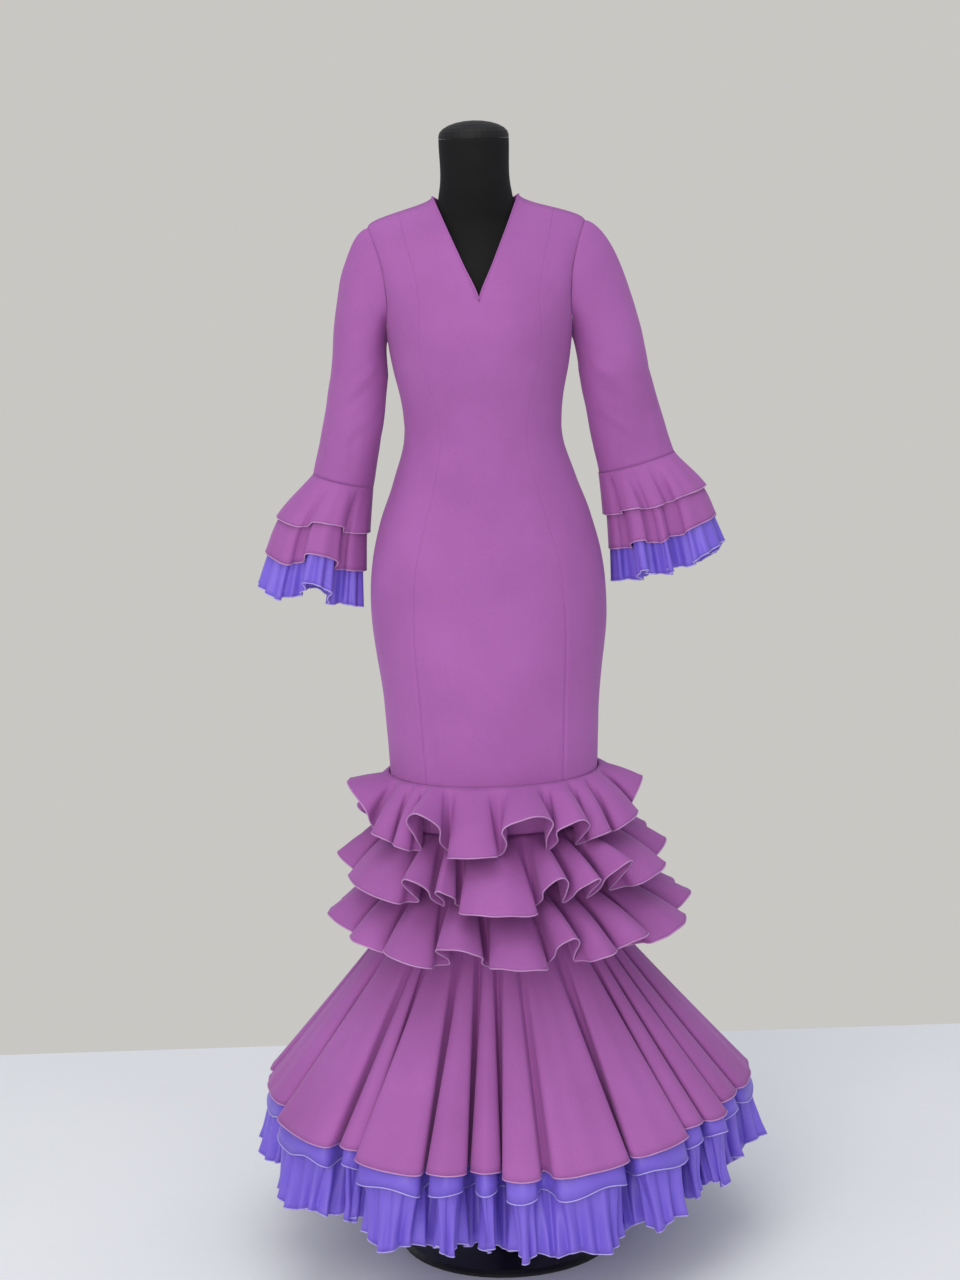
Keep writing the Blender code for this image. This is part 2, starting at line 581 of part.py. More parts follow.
def make_form(jersey, enamel, collection):
    """A padded torso with a neck, its cap, a pole and a round base plate."""
    sections = [body_ring(FORM_BOTTOM_Z, TORSO_TUCK)]
    for rise in (TORSO_ROUND / 5, TORSO_ROUND):
        sections.append(body_ring(FORM_BOTTOM_Z + rise, FORM_CLEARANCE + TORSO_ROUND - rise))
    for z, *_ in BODY_SECTIONS:
        if FORM_BOTTOM_Z + 1.5 * TORSO_ROUND < z < FORM_SECTIONS[0][0]:
            sections.append(body_ring(z, FORM_CLEARANCE))
    sections += [Ring(*row, 0.0, 0.0, 0.0) for row in FORM_SECTIONS]
    torso = bmesh.new()
    rings = [[torso.verts.new(ring_frame(section, 360 * index / TORSO_COLUMNS)[0])
              for index in range(TORSO_COLUMNS)]
             for section in sections]
    for lower, upper in zip(rings, rings[1:]):
        for index in range(TORSO_COLUMNS):
            following = (index + 1) % TORSO_COLUMNS
            torso.faces.new((lower[index], lower[following], upper[following], upper[index]))
    torso.faces.new(rings[0][::-1])
    torso.faces.new(rings[-1])
    mesh = bpy.data.meshes.new("form_torso")
    torso.to_mesh(mesh)
    torso.free()
    add_object("form_torso", mesh, jersey, collection)

    cap_radius = FORM_SECTIONS[-1][1]
    cap_z = NECK_TOP_Z + SEAM_GAP
    dome = [(cap_radius * math.sin(turn), cap_z + CAP_FOOT + (CAP_HEIGHT - CAP_FOOT) * math.cos(turn))
            for turn in (math.radians(90 * index / CAP_RINGS) for index in range(CAP_RINGS + 1))]
    turned("form_neck_cap", dome + [(cap_radius, cap_z), (0.0, cap_z)], CAP_SIDES, enamel, collection)
    turned("form_base", BASE_PROFILE, TURNED_SIDES, enamel, collection)

    pole_bottom = BASE_HEIGHT + COLLAR_HEIGHT + SEAM_GAP
    pole_top = FORM_BOTTOM_Z - SEAM_GAP
    mesh = bpy.data.meshes.new("form_pole")
    pole = bmesh.new()
    bmesh.ops.create_cone(pole, cap_ends=True, segments=POLE_SIDES, radius1=POLE_RADIUS, radius2=POLE_RADIUS,
                          depth=pole_top - pole_bottom)
    pole.to_mesh(mesh)
    pole.free()
    item = add_object("form_pole", mesh, enamel, collection)
    item.location = (0.0, 0.0, (pole_top + pole_bottom) / 2)


def turned(name, profile, count, material, collection):
    """A round piece turned about Z from a profile of (radius, height), top to bottom."""
    mesh = bpy.data.meshes.new(name)
    edges = [(index, index + 1) for index in range(len(profile) - 1)]
    mesh.from_pydata([(radius, 0.0, height) for radius, height in profile], edges, [])
    item = add_object(name, mesh, material, collection)
    screw = item.modifiers.new("turning", "SCREW")
    screw.axis = "Z"
    screw.steps = count
    screw.render_steps = count
    screw.use_merge_vertices = True
    screw.merge_threshold = 0.0001
    screw.use_smooth_shade = True
    return item


def main():
    clear_scene()
    collection = bpy.data.collections.new("flamenco dress on a dress form")
    bpy.context.scene.collection.children.link(collection)
    crepe = make_material("mauve crepe")
    taffeta = make_material("violet taffeta")
    jersey = make_material("black jersey")
    enamel = make_material("black enamel")
    make_form(jersey, enamel, collection)
    make_body(crepe, collection)
    for name in ("left", "right"):
        make_sleeve(name, crepe, collection)
        make_cuff(name, crepe, taffeta, collection)
    make_knee_flounces(crepe, collection)
    make_skirt(crepe, taffeta, collection)


main()
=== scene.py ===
"""Looks of a flamenco dress on a limbless dress form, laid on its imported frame.

Frame: metres, +Z up, the wearer's front faces -Y. Angles round the dress are in degrees, 0 at the
front (-Y) and growing towards +X. Left and right are as seen from the front.
"""
import math
from collections import namedtuple

import bmesh
import bpy
import numpy as np
from mathutils import Matrix, Vector, noise


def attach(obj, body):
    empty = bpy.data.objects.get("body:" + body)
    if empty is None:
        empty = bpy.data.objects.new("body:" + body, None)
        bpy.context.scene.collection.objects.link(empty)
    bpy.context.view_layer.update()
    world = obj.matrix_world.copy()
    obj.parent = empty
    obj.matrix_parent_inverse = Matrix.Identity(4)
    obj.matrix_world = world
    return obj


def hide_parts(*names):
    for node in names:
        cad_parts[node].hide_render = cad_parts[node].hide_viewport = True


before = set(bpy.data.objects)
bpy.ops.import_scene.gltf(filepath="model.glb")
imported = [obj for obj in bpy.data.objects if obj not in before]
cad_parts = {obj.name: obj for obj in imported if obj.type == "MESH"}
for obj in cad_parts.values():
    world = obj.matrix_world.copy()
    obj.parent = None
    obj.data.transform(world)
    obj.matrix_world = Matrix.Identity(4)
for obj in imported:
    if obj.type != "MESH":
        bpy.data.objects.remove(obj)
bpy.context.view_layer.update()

# Cloth thickness as it shows, and gaps between layers
CREPE_WALL = 0.0013
TAFFETA_WALL = 0.0008
SEAM_GAP = 0.0003
CREPE_EDGE = 0.00115          # radius of the overlocked edge on crepe hems
TAFFETA_EDGE = 0.0010
PIPING = 0.0014               # radius of the rolled neckline
WELD = 0.00002                # points closer than this become one
CLOTHS = {"crepe": (CREPE_WALL, CREPE_EDGE), "taffeta": (TAFFETA_WALL, TAFFETA_EDGE)}

SHEEN_ROUGHNESS = 0.45
NOISE_LOW, NOISE_HIGH = 0.3, 0.7    # the middle of a noise pattern, which is spread out in full

# Heights above the floor
HEM_Z = 0.120
UNDERSKIRT_HEM_Z = 0.205
SKIRT_HEM_Z = 0.235
SKIRT_SEAM_Z = 0.545
SKIRT_TOP_Z = SKIRT_SEAM_Z - CREPE_WALL
UNDERSKIRT_SEAM_Z = 0.525
FORM_BOTTOM_Z = 0.820
FORM_STRAIGHT_TOP = 1.400
NECK_TOP_Z = 1.715

# Dress form: its gap to the dress, its rounded bottom edge, and its rows and columns of points
FORM_CLEARANCE = 0.007
FORM_BOTTOM_INSET = 0.034
FORM_ROUND = 0.020
FORM_ROUND_STEPS = (0.004, 0.012, 0.020)
FORM_STRAIGHT = 0.030         # how far above the bottom the rounding has ended
FORM_STRAIGHT_ROWS = 50
FORM_UPPER_ROWS = 60
FORM_COLUMNS = 96

# Points across and down each body panel, and how the panels meet
BODY_ROWS = 160
CENTRE_COLUMNS = 20
SIDE_COLUMNS = 22
BACK_COLUMNS = 34
BODY_WANDER = 0.0010          # height of the slow unevenness of fitted cloth
PRINCESS_GAP = 0.0006         # share of the quarter left free on each side of a princess seam
NECK_OPENS = 0.0005           # half width from which the centre line counts as neckline
PRINCESS_GROOVE = 0.0013      # depths at which seams are turned in
BACK_GROOVE = 0.0010
SIDE_GROOVE = 0.0006
GROOVE_WIDTH = 0.0018
PRESSED_AT = 0.0050           # the pressed allowance under the cloth: its place, width and height
PRESSED_WIDTH = 0.0022
PRESSED_HEIGHT = 0.45
GROOVE_FADE_Z = 1.10          # grooves are deep below the hip, and pressed nearly flat above this
GROOVE_FADE = 0.20
GROOVE_LEAST = 0.10

# Creases and unevenness: patterns to the metre, and the hollow flanks that go with a ridge
SLOW_WANDER = 9.0
QUICK_WANDER = 24.0
FLANK_DEPTH = 0.35
FLANK_WIDTH = 2.4

Ring = namedtuple("Ring", "z half_width front_depth back_depth square centre_x centre_y tilt")
Fold = namedtuple("Fold", "valley mouth pocket depth reach rise lean")
Row = namedtuple("Row", "inner outer square princess")
Crease = namedtuple("Crease", "start end width height")
Wave = namedtuple("Wave", "length seed height")
Layer = namedtuple("Layer", "name kind high low inset columns rows")
Cap = namedtuple("Cap", "gap gap_closing out out_over drop_over in_over rise rise_over")


def folds_from(*rows):
    """Folds from rows of an angle in degrees and lengths in millimetres."""
    return [Fold(angle, *(length / 1000 for length in lengths)) for angle, *lengths in rows]


def creases_from(*rows):
    """Creases from rows in millimetres."""
    return [Crease(np.array(start) / 1000, np.array(end) / 1000, width / 1000, height / 1000)
            for start, end, width, height in rows]


# How far a wave's pace and size wander: their lengths in waves, then their ranges
PACE_WANDER, PACE_RANGE = 3.1, 0.8
SIZE_WANDER, SIZE_RANGE = 2.3, 0.5
SIZE_MEAN = 0.75

# Body sections, hem to underarm.
# z, half width, front depth, back depth, squareness, princess seam as a share of the quarter
BODY_SECTIONS = (
    (0.545, 0.1500, 0.1300, 0.1280, 2.10, 0.43),
    (0.765, 0.1585, 0.1335, 0.1320, 2.20, 0.43),
    (0.870, 0.1640, 0.1325, 0.1345, 2.25, 0.43),
    (1.035, 0.1780, 0.1270, 0.1400, 2.20, 0.41),
    (1.100, 0.1715, 0.1210, 0.1310, 2.15, 0.40),
    (1.150, 0.1590, 0.1130, 0.1180, 2.10, 0.38),
    (1.210, 0.1370, 0.1030, 0.1000, 2.10, 0.36),
    (1.275, 0.1185, 0.0960, 0.0880, 2.10, 0.35),
    (1.330, 0.1205, 0.1050, 0.0890, 2.20, 0.37),
    (1.380, 0.1300, 0.1200, 0.0960, 2.30, 0.41),
    (1.420, 0.1365, 0.1230, 0.1020, 2.25, 0.43),
)

# Bodice above the underarm: inner edge (centre line, then neckline), outer edge (armhole)
SHOULDER_SET = 0.0001
FRONT_YOKE = (
    Row((0.0000, -0.1190, 1.452), (0.1370, -0.030, 1.447), 2.10, 0.44),
    Row((0.0000, -0.1110, 1.483), (0.1345, -0.052, 1.478), 1.90, 0.46),
    Row((0.0220, -0.0880, 1.535), (0.1380, -0.050, 1.520), 1.60, 0.48),
    Row((0.0430, -0.0550, 1.583), (0.1480, -0.033, 1.560), 1.35, 0.50),
    Row((0.0640, -SHOULDER_SET, 1.632), (0.1600, -SHOULDER_SET, 1.590), 1.10, 0.50),
)
BACK_YOKE = (
    Row((0.0000, 0.1040, 1.455), (0.1390, 0.028, 1.447), 2.10, 0.44),
    Row((0.0000, 0.1030, 1.495), (0.1410, 0.045, 1.485), 1.90, 0.46),
    Row((0.0000, 0.0960, 1.540), (0.1460, 0.044, 1.527), 1.70, 0.48),
    Row((0.0000, 0.0800, 1.580), (0.1530, 0.026, 1.563), 1.45, 0.50),
    Row((0.0120, 0.0660, 1.603), (0.1570, 0.012, 1.578), 1.25, 0.50),
    Row((0.0420, 0.0420, 1.618), (0.1590, 0.006, 1.586), 1.15, 0.50),
    Row((0.0640, SHOULDER_SET, 1.632), (0.1600, SHOULDER_SET, 1.590), 1.10, 0.50),
)

# Dress form above the underarm: z, half width, front depth, back depth, squareness
FORM_SECTIONS = (
    (1.420, 0.1285, 0.1140, 0.0940, 2.2),
    (1.483, 0.1290, 0.1010, 0.0930, 2.2),
    (1.535, 0.1290, 0.0760, 0.0780, 2.1),
    (1.560, 0.1200, 0.0540, 0.0560, 1.8),
    (1.580, 0.0980, 0.0450, 0.0460, 1.6),
    (1.598, 0.0740, 0.0420, 0.0430, 1.6),
    (1.615, 0.0600, 0.0440, 0.0450, 1.8),
    (1.640, 0.0535, 0.0500, 0.0500, 2.0),
    (NECK_TOP_Z, 0.0520, 0.0520, 0.0520, 2.0),
)

# Sleeve sections, upper arm to cuff seam: z, centre x, centre y, half width, half depth, tilt
SLEEVE_SECTIONS = {
    "left": (
        (1.370, -0.1830, 0.000, 0.0435, 0.0520, 0.00),
        (1.300, -0.1950, 0.010, 0.0440, 0.0500, -0.10),
        (1.213, -0.2140, 0.024, 0.0445, 0.0490, -0.25),
    ),
    "right": (
        (1.370, 0.1980, 0.000, 0.0520, 0.0500, 0.00),
        (1.300, 0.2140, 0.010, 0.0550, 0.0430, 0.10),
        (1.226, 0.2310, 0.022, 0.0575, 0.0370, 0.25),
    ),
}
SIDE_SIGN = {"left": -1, "right": 1}
SLEEVE_COLUMNS = 96
CAP_ROWS = 34
TUBE_ROWS = 30
SLEEVE_WANDER = 0.0022
# The sleeve's cap leaves the armhole outwards and comes down into the tube. Each second number is
# added over the shoulder, where the way is longest.
SLEEVE_CAP = Cap(gap=0.0012, gap_closing=0.0006, out=0.003, out_over=0.034, drop_over=0.008,
                 in_over=0.012, rise=0.018, rise_over=0.087)

# Cuffs: the violet frill's hem ring, and the nested layers with their inset, the first and last
# share of the drop, and the columns of points
CUFF_HEM = {
    "left": Ring(1.036, 0.0920, 0.090, 0.085, 2.0, -0.267, 0.040, -0.20),
    "right": Ring(1.062, 0.0930, 0.085, 0.080, 2.0, 0.276, 0.036, 0.20),
}
CUFF_LAYERS = (
    ("upper", 0.0, 0.0, 0.38, 320),
    ("lower", 0.0050, 0.0, 0.70, 320),
    ("frill", 0.0095, 0.38, 1.0, 560),
)
CUFF_FLARE = ((0.0, 0.0), (0.38, 0.58), (0.70, 0.82), (1.0, 1.0))
CUFF_ROWS = 16
CUFF_CLEARANCE = 0.004
CUFF_BACK_DROP = 0.016        # how much lower the cuffs hang behind
CUFF_BEHIND = 0.06            # how far behind the cuff's middle they have reached that
CUFF_RUFFLE_WAVES = Wave(0.048, 11.0, 0.0012)
CUFF_GATHERS = Wave(0.011, 3.0, 0.0014)
CUFF_FRILL_WAVES = Wave(0.024, 7.0, 0.0052)
CUFF_FRILL_TUCK = 0.001       # how far the frill's hem is drawn in, clear of the ruffle over it

# Folds, one row each: the angle of the valley, then in millimetres its mouth, pocket and depth; how
# far the crown that follows it reaches past the hem ring, its lip's lift, and how the lip leans.
MOUTH_SET = 0.36              # shares of a fold's depth at which its mouth and pocket are set in
POCKET_SET = 0.68
MOUTH_RISE = 0.70             # shares of a crown's lift that its mouth and pocket points take
POCKET_RISE = 0.28
CUFF_FOLDS = {
    "left": folds_from(
        (-100, 20, 12, 22, 4, 0, -10),
        (-22, 18, 12, 26, 6, 30, -4),
        (34, 12, 12, 34, -6, 0, 0),
        (104, 24, 14, 24, -2, 4, 0),
        (150, 20, 10, 22, 4, 10, 0),
        (205, 20, 10, 22, 0, 0, 0),
    ),
    "right": folds_from(
        (-50, 14, 10, 26, 4, 14, 0),
        (-14, 12, 10, 26, -10, 0, 0),
        (15, 12, 12, 30, 6, 20, 12),
        (92, 22, 12, 18, 0, 4, 0),
        (150, 20, 10, 22, 4, 10, 0),
        (215, 20, 10, 22, 0, 0, 0),
    ),
}

# Knee flounces: seam height, hem ring, rise of the hem for each metre it stands further out
Flounce = namedtuple("Flounce", "seam_z hem lift folds")
KNEE_ROWS = 17
KNEE_COLUMNS = 900
KNEE_OFF_BODY = CREPE_WALL + 2 * SEAM_GAP + 0.0010
KNEE_BOW = 0.13               # share of the flare by which a flounce swells on its way down
KNEE_WAVES = Wave(0.060, 20.0, 0.0014)
KNEE_FLOUNCES = {
    "flounce_top": Flounce(0.765, Ring(0.692, 0.222, 0.226, 0.222, 2.0, 0.000, 0.0, 0.0), 0.45, folds_from(
        (-63, 10, 20, 36, 2, 4, -6),
        (-48, 10, 16, 40, 2, -4, -10),
        (-38, 8, 14, 44, 12, 50, -4),
        (-22, 10, 16, 50, 4, -12, 4),
        (1, 8, 22, 52, 14, 44, 8),
        (24, 10, 20, 48, 6, 30, -4),
        (42, 8, 16, 46, 0, 2, 4),
        (56, 10, 18, 44, 8, 6, 12),
        (78, 10, 20, 36, 6, 44, 12),
        (104, 10, 20, 34, 6, 20, -10),
        (128, 10, 22, 50, 0, 0, 0),
        (156, 10, 18, 46, 8, 30, 4),
        (181, 10, 22, 48, 2, -4, 0),
        (209, 10, 20, 50, 6, 26, -4),
        (236, 10, 20, 40, 0, 6, 10),
        (264, 10, 22, 34, 6, 60, -30),
    )),
    "flounce_middle": Flounce(0.690, Ring(0.618, 0.252, 0.256, 0.250, 2.0, 0.010, 0.0, 0.0), 0.40, folds_from(
        (-78, 10, 22, 60, 4, -4, -16),
        (-40, 10, 18, 56, 10, 30, -8),
        (-27, 10, 14, 56, 2, 18, -6),
        (-18, 10, 18, 64, 10, -18, -6),
        (12, 10, 18, 60, 8, 32, 12),
        (25, 18, 14, 54, 4, 22, 6),
        (38, 10, 18, 60, 8, 36, 8),
        (53, 10, 20, 62, 10, 0, 14),
        (80, 10, 22, 60, 2, 18, 8),
        (108, 10, 20, 64, 6, 16, 0),
        (131, 10, 22, 58, 0, -4, 0),
        (158, 10, 20, 62, 8, 32, 4),
        (186, 10, 22, 60, 2, 0, 0),
        (212, 10, 18, 64, 6, 28, -4),
        (238, 10, 22, 58, 2, 6, 0),
        (262, 10, 20, 62, 4, 18, -8),
    )),
    "flounce_low": Flounce(0.612, Ring(0.534, 0.278, 0.282, 0.272, 2.0, 0.018, 0.0, 0.0), 0.35, folds_from(
        (-68, 10, 20, 74, 4, 4, -10),
        (-48, 10, 18, 70, 8, -4, -20),
        (-27, 10, 20, 76, 6, 22, -6),
        (-9, 10, 20, 74, 8, -8, -8),
        (13, 18, 10, 62, 4, 34, 2),
        (24, 18, 12, 62, 6, -2, 12),
        (37, 10, 18, 70, 4, 12, 10),
        (52, 10, 20, 74, 10, 2, 18),
        (78, 10, 22, 72, 4, 20, 6),
        (102, 20, 14, 60, 6, 10, 0),
        (127, 10, 20, 70, 0, 0, 0),
        (152, 10, 22, 74, 8, 30, 4),
        (180, 10, 20, 72, 2, -4, 0),
        (206, 10, 22, 76, 6, 26, -4),
        (233, 10, 20, 70, 2, 2, 0),
        (264, 10, 22, 72, 6, 14, -6),
    )),
}

# Skirt: the frill's hem ring, the nested layers, and the godet folds that they share
SKIRT_HEM = Ring(HEM_Z, 0.408, 0.388, 0.385, 2.0, 0.004, 0.0, 0.0)
SKIRT_LAYERS = (
    Layer("skirt_flounce", "crepe", SKIRT_TOP_Z, SKIRT_HEM_Z, 0.0, 1300, 30),
    Layer("underskirt", "taffeta", UNDERSKIRT_SEAM_Z, UNDERSKIRT_HEM_Z, 0.0055, 900, 22),
    Layer("underskirt_frill", "taffeta", SKIRT_HEM_Z, HEM_Z, 0.0110, 2000, 12),
)
SKIRT_FLARE = 0.875           # share of the flare that the long flounce's hem has reached
SKIRT_LIFT = 0.10
SKIRT_SIDE_RAISE = 0.050      # how much higher the hem stands at the sides than at the front
SKIRT_MOUTH_SET = 0.17        # the godets' shoulders are fuller than the short flounces'
SKIRT_WAVES = Wave(0.070, 41.0, 0.0012)
TIER_HEM_WAVES = Wave(0.120, 53.0, 0.0060)
FRILL_GATHERS = Wave(0.012, 31.0, 0.0020)
FRILL_WAVES = Wave(0.031, 37.0, 0.0085)
FRILL_CLUMPS = Wave(0.074, 47.0, 0.0075)
FRILL_HEM_WAVES = Wave(0.105, 43.0, 0.0075)
FRILL_TUCK = 0.003            # how far the frill's hem is drawn in
FRILL_SOFTENING = 0.040       # reach over which gathers round off the godets
FRILL_EASE = 0.78             # how much of that rounding there is at the hem
FRILL_EASE_FROM, FRILL_EASE_OVER = 0.20, 0.60       # shares of the frill's drop
SKIRT_FOLDS = folds_from(
    (-70, 6, 18, 85, 10, -6, 0),
    (-45, 5, 14, 70, -10, 6, 0),
    (-38, 5, 14, 75, 10, -4, -8),
    (-20, 5, 16, 80, 4, 4, 0),
    (-10, 10, 14, 95, -14, 8, 0),
    (-2, 6, 12, 88, 8, -4, 0),
    (8, 24, 14, 46, 4, -4, 6),
    (29, 6, 18, 85, 8, 0, 10),
    (46, 5, 14, 72, -4, 8, 0),
    (54, 5, 14, 68, 6, -4, 0),
    (63, 5, 14, 72, -2, 6, 0),
    (74, 5, 16, 78, 8, 0, 8),
    (97, 6, 18, 85, 0, -4, 0),
    (124, 6, 16, 80, 8, 4, 0),
    (151, 6, 18, 90, 0, -4, 0),
    (180, 6, 16, 80, 6, 4, 0),
    (208, 6, 18, 85, 0, -4, 0),
    (237, 6, 16, 90, 8, 0, 6),
    (264, 6, 18, 80, -2, 6, 0),
)

# Soft creases in millimetres: both ends, width and height of each ridge (negative for a hollow)
BODY_CREASES = creases_from(
    ((-108, -110, 770), (-100, -112, 850), 6, 2.2),
    ((-92, -120, 770), (-90, -118, 830), 5.5, -2),
    ((-78, -125, 770), (-80, -122, 840), 6, 2),
    ((2, -134, 770), (4, -133, 835), 7, 1.8),
    ((20, -134, 770), (18, -133, 815), 6, -1.4),
    ((98, -115, 770), (92, -116, 835), 6, 1.8),
    ((-60, 125, 770), (-58, 126, 850), 6.5, 2.2),
    ((-40, 130, 770), (-42, 130, 820), 6, -1.6),
    ((75, 120, 770), (70, 122, 845), 6.5, 2),
    ((-118, -20, 1262), (-60, -80, 1292), 8, 2),
    ((-117, 10, 1290), (-70, -75, 1318), 8, -1.8),
    ((118, -15, 1256), (55, -82, 1280), 8, 2),
    ((117, 10, 1284), (75, -72, 1306), 8, -1.8),
    ((-120, 10, 1300), (-40, 84, 1262), 9, 2.4),
    ((-118, 10, 1270), (-30, 86, 1242), 8, -1.8),
    ((120, 10, 1302), (35, 85, 1268), 9, 2.4),
    ((118, 10, 1272), (45, 82, 1240), 8, -1.8),
    ((132, -20, 1425), (85, -100, 1385), 8, 2.2),
    ((-132, -20, 1425), (-80, -102, 1392), 8, 2.2),
    ((130, 10, 1430), (80, 85, 1400), 8.5, 2.2),
    ((-130, 10, 1430), (-85, 82, 1404), 8.5, 2.2),
)
SLEEVE_CREASES = {
    "left": creases_from(
        ((-146, -20, 1420), (-200, -45, 1372), 10, 3.2),
        ((-148, -30, 1450), (-190, -50, 1420), 10, -3),
        ((-150, -45, 1395), (-215, -45, 1330), 8.5, -2.8),
        ((-165, -50, 1360), (-232, -20, 1305), 9, 3),
        ((-155, -30, 1330), (-222, -40, 1268), 8, -2.6),
        ((-190, -46, 1300), (-200, -30, 1225), 8, 2.6),
        ((-232, -28, 1300), (-236, -10, 1226), 7.5, -2.2),
        ((-150, 35, 1420), (-220, 45, 1350), 10, 3.2),
        ((-165, 50, 1380), (-225, 50, 1310), 9, -2.8),
        ((-190, 60, 1320), (-200, 70, 1235), 8.5, 2.6),
        ((-150, 10, 1340), (-165, 15, 1230), 8, 2.4),
    ),
    "right": creases_from(
        ((148, -20, 1420), (215, -45, 1375), 10, 3.2),
        ((150, -30, 1455), (200, -48, 1425), 10, -3),
        ((155, -45, 1390), (235, -40, 1335), 8.5, -3),
        ((165, -45, 1350), (255, -20, 1300), 9, 3),
        ((165, -30, 1320), (245, -30, 1262), 8, -2.8),
        ((205, -36, 1290), (200, -16, 1238), 8, 2.4),
        ((250, -18, 1300), (262, -5, 1242), 7.5, -2.2),
        ((150, 35, 1420), (235, 40, 1350), 10, 3.2),
        ((170, 48, 1375), (250, 42, 1310), 9, -2.8),
        ((205, 54, 1320), (225, 58, 1245), 8.5, 2.6),
    ),
}


def linear(code):
    """sRGB hex to a linear colour with full alpha."""
    values = [int(code[index:index + 2], 16) / 255 for index in (1, 3, 5)]
    return tuple(v / 12.92 if v <= 0.04045 else ((v + 0.055) / 1.055) ** 2.4 for v in values) + (1.0,)


# ---------------------------------------------------------------- materials

def add_node(tree, kind, settings=(), inputs=(), links=()):
    """Adds a node: its settings, its constant inputs, and links (input, other node, output)."""
    node = tree.nodes.new(kind)
    for name, value in settings:
        setattr(node, name, value)
    for name, value in inputs:
        node.inputs[name].default_value = value
    for name, other, output in links:
        tree.links.new(other.outputs[output], node.inputs[name])
    return node


def cloth_material(name, dark, light, patch_scale, grain_scale, grain_dark, grain_height,
                   roughness, sheen, sheen_colour, specular):
    """A surface whose colour drifts in soft patches, with a fine grain in colour and height.

    Both scales are patterns to the metre, and grain_height is the relief in metres.
    """
    material = bpy.data.materials.new(name)
    material.use_nodes = True
    tree = material.node_tree
    shader = tree.nodes["Principled BSDF"]
    shader.inputs["Base Color"].default_value = linear(light)
    shader.inputs["Roughness"].default_value = roughness
    shader.inputs["Metallic"].default_value = 0.0
    shader.inputs["Sheen Weight"].default_value = sheen
    shader.inputs["Sheen Roughness"].default_value = SHEEN_ROUGHNESS
    shader.inputs["Sheen Tint"].default_value = linear(sheen_colour)
    shader.inputs["Specular IOR Level"].default_value = specular

    place = add_node(tree, "ShaderNodeTexCoord")
    patches = add_node(tree, "ShaderNodeTexNoise", (), (("Scale", patch_scale), ("Detail", 3.0)),
                       (("Vector", place, "Object"),))
    grain = add_node(tree, "ShaderNodeTexNoise", (), (("Scale", grain_scale), ("Detail", 2.0)),
                     (("Vector", place, "Object"),))
    drift, shade = (
        add_node(tree, "ShaderNodeMapRange", (),
                 (("From Min", NOISE_LOW), ("From Max", NOISE_HIGH), ("To Min", least), ("To Max", 1.0)),
                 (("Value", pattern, "Fac"),))
        for pattern, least in ((patches, 0.0), (grain, grain_dark)))
    tone = add_node(tree, "ShaderNodeMix", (("data_type", "RGBA"),), (), (("Factor", drift, "Result"),))
    colours = [socket for socket in tone.inputs if socket.type == "RGBA"]
    colours[0].default_value = linear(dark)
    colours[1].default_value = linear(light)
    tint = add_node(tree, "ShaderNodeVectorMath", (("operation", "SCALE"),), (),
                    (("Scale", shade, "Result"),))
    tree.links.new([socket for socket in tone.outputs if socket.type == "RGBA"][0], tint.inputs[0])
    tree.links.new(tint.outputs[0], shader.inputs["Base Color"])
    bump = add_node(tree, "ShaderNodeBump", (), (("Strength", 0.6), ("Distance", grain_height)),
                    (("Height", grain, "Fac"),))
    tree.links.new(bump.outputs["Normal"], shader.inputs["Normal"])
    return material


def make_materials():
    # Polyester crepe, piece-dyed mauve: a matte pebbled face with a faint lilac bloom at grazing
    # angles. The pebble is drawn at 1.5 mm where the real one is 0.4 mm, so that it shows at all.
    # The dye drifts over patches of about 140 mm.
    crepe = cloth_material("mauve polyester crepe", "#a05ba1", "#ab64ad", 7.0, 650.0, 0.90, 0.0004,
                           roughness=0.74, sheen=0.30, sheen_colour="#d9a3dd", specular=0.28)
    # Overlock thread over the crepe's cut edge: paler and pinker, softly furry. Its loops lie
    # 0.7 mm apart, near the real 0.5 mm.
    crepe_thread = cloth_material("lilac overlock thread", "#bd86bf", "#cb9ccf", 40.0, 1400.0, 0.80, 0.0003,
                                  roughness=0.66, sheen=0.25, sheen_colour="#ecd2ee", specular=0.30)
    # Violet taffeta, yarn-dyed and calendered: smoother than the crepe, brighter on its folds. Its
    # rib is drawn at 1.25 mm where the real one is 0.25 mm.
    taffeta = cloth_material("violet taffeta", "#735bd0", "#8169dc", 9.0, 800.0, 0.93, 0.0002,
                             roughness=0.46, sheen=0.22, sheen_colour="#b9aaf2", specular=0.42)
    # The same thread in lavender, over the taffeta's edges.
    taffeta_thread = cloth_material("lavender overlock thread", "#b0a3ea", "#c4baf3", 40.0, 1400.0, 0.82,
                                    0.0003, roughness=0.60, sheen=0.25, sheen_colour="#ddd6fb", specular=0.30)
    # Black cotton jersey over padding: a dull, slightly dusty knit, with a stitch of 1.1 mm.
    jersey = cloth_material("black cotton jersey", "#0b0b0c", "#121213", 12.0, 900.0, 0.75, 0.0003,
                            roughness=0.82, sheen=0.12, sheen_colour="#5a5a60", specular=0.25)
    # The same jersey stretched over the neck's cap: tighter, so a little smoother and shinier.
    cap = cloth_material("tight black jersey", "#0c0b0b", "#131212", 18.0, 900.0, 0.80, 0.0002,
                         roughness=0.58, sheen=0.10, sheen_colour="#5a5a60", specular=0.32)
    # Powder-coated steel: near-black, with a low satin shine and a faint orange-peel of 0.9 mm.
    enamel = cloth_material("black powder-coated steel", "#0d0d0e", "#141415", 25.0, 1100.0, 0.85, 0.0001,
                            roughness=0.42, sheen=0.0, sheen_colour="#000000", specular=0.50)
    return {"crepe": crepe, "crepe thread": crepe_thread, "taffeta": taffeta,
            "taffeta thread": taffeta_thread, "jersey": jersey, "stand": enamel, "cap": cap}


# ---------------------------------------------------------------- curves and rings

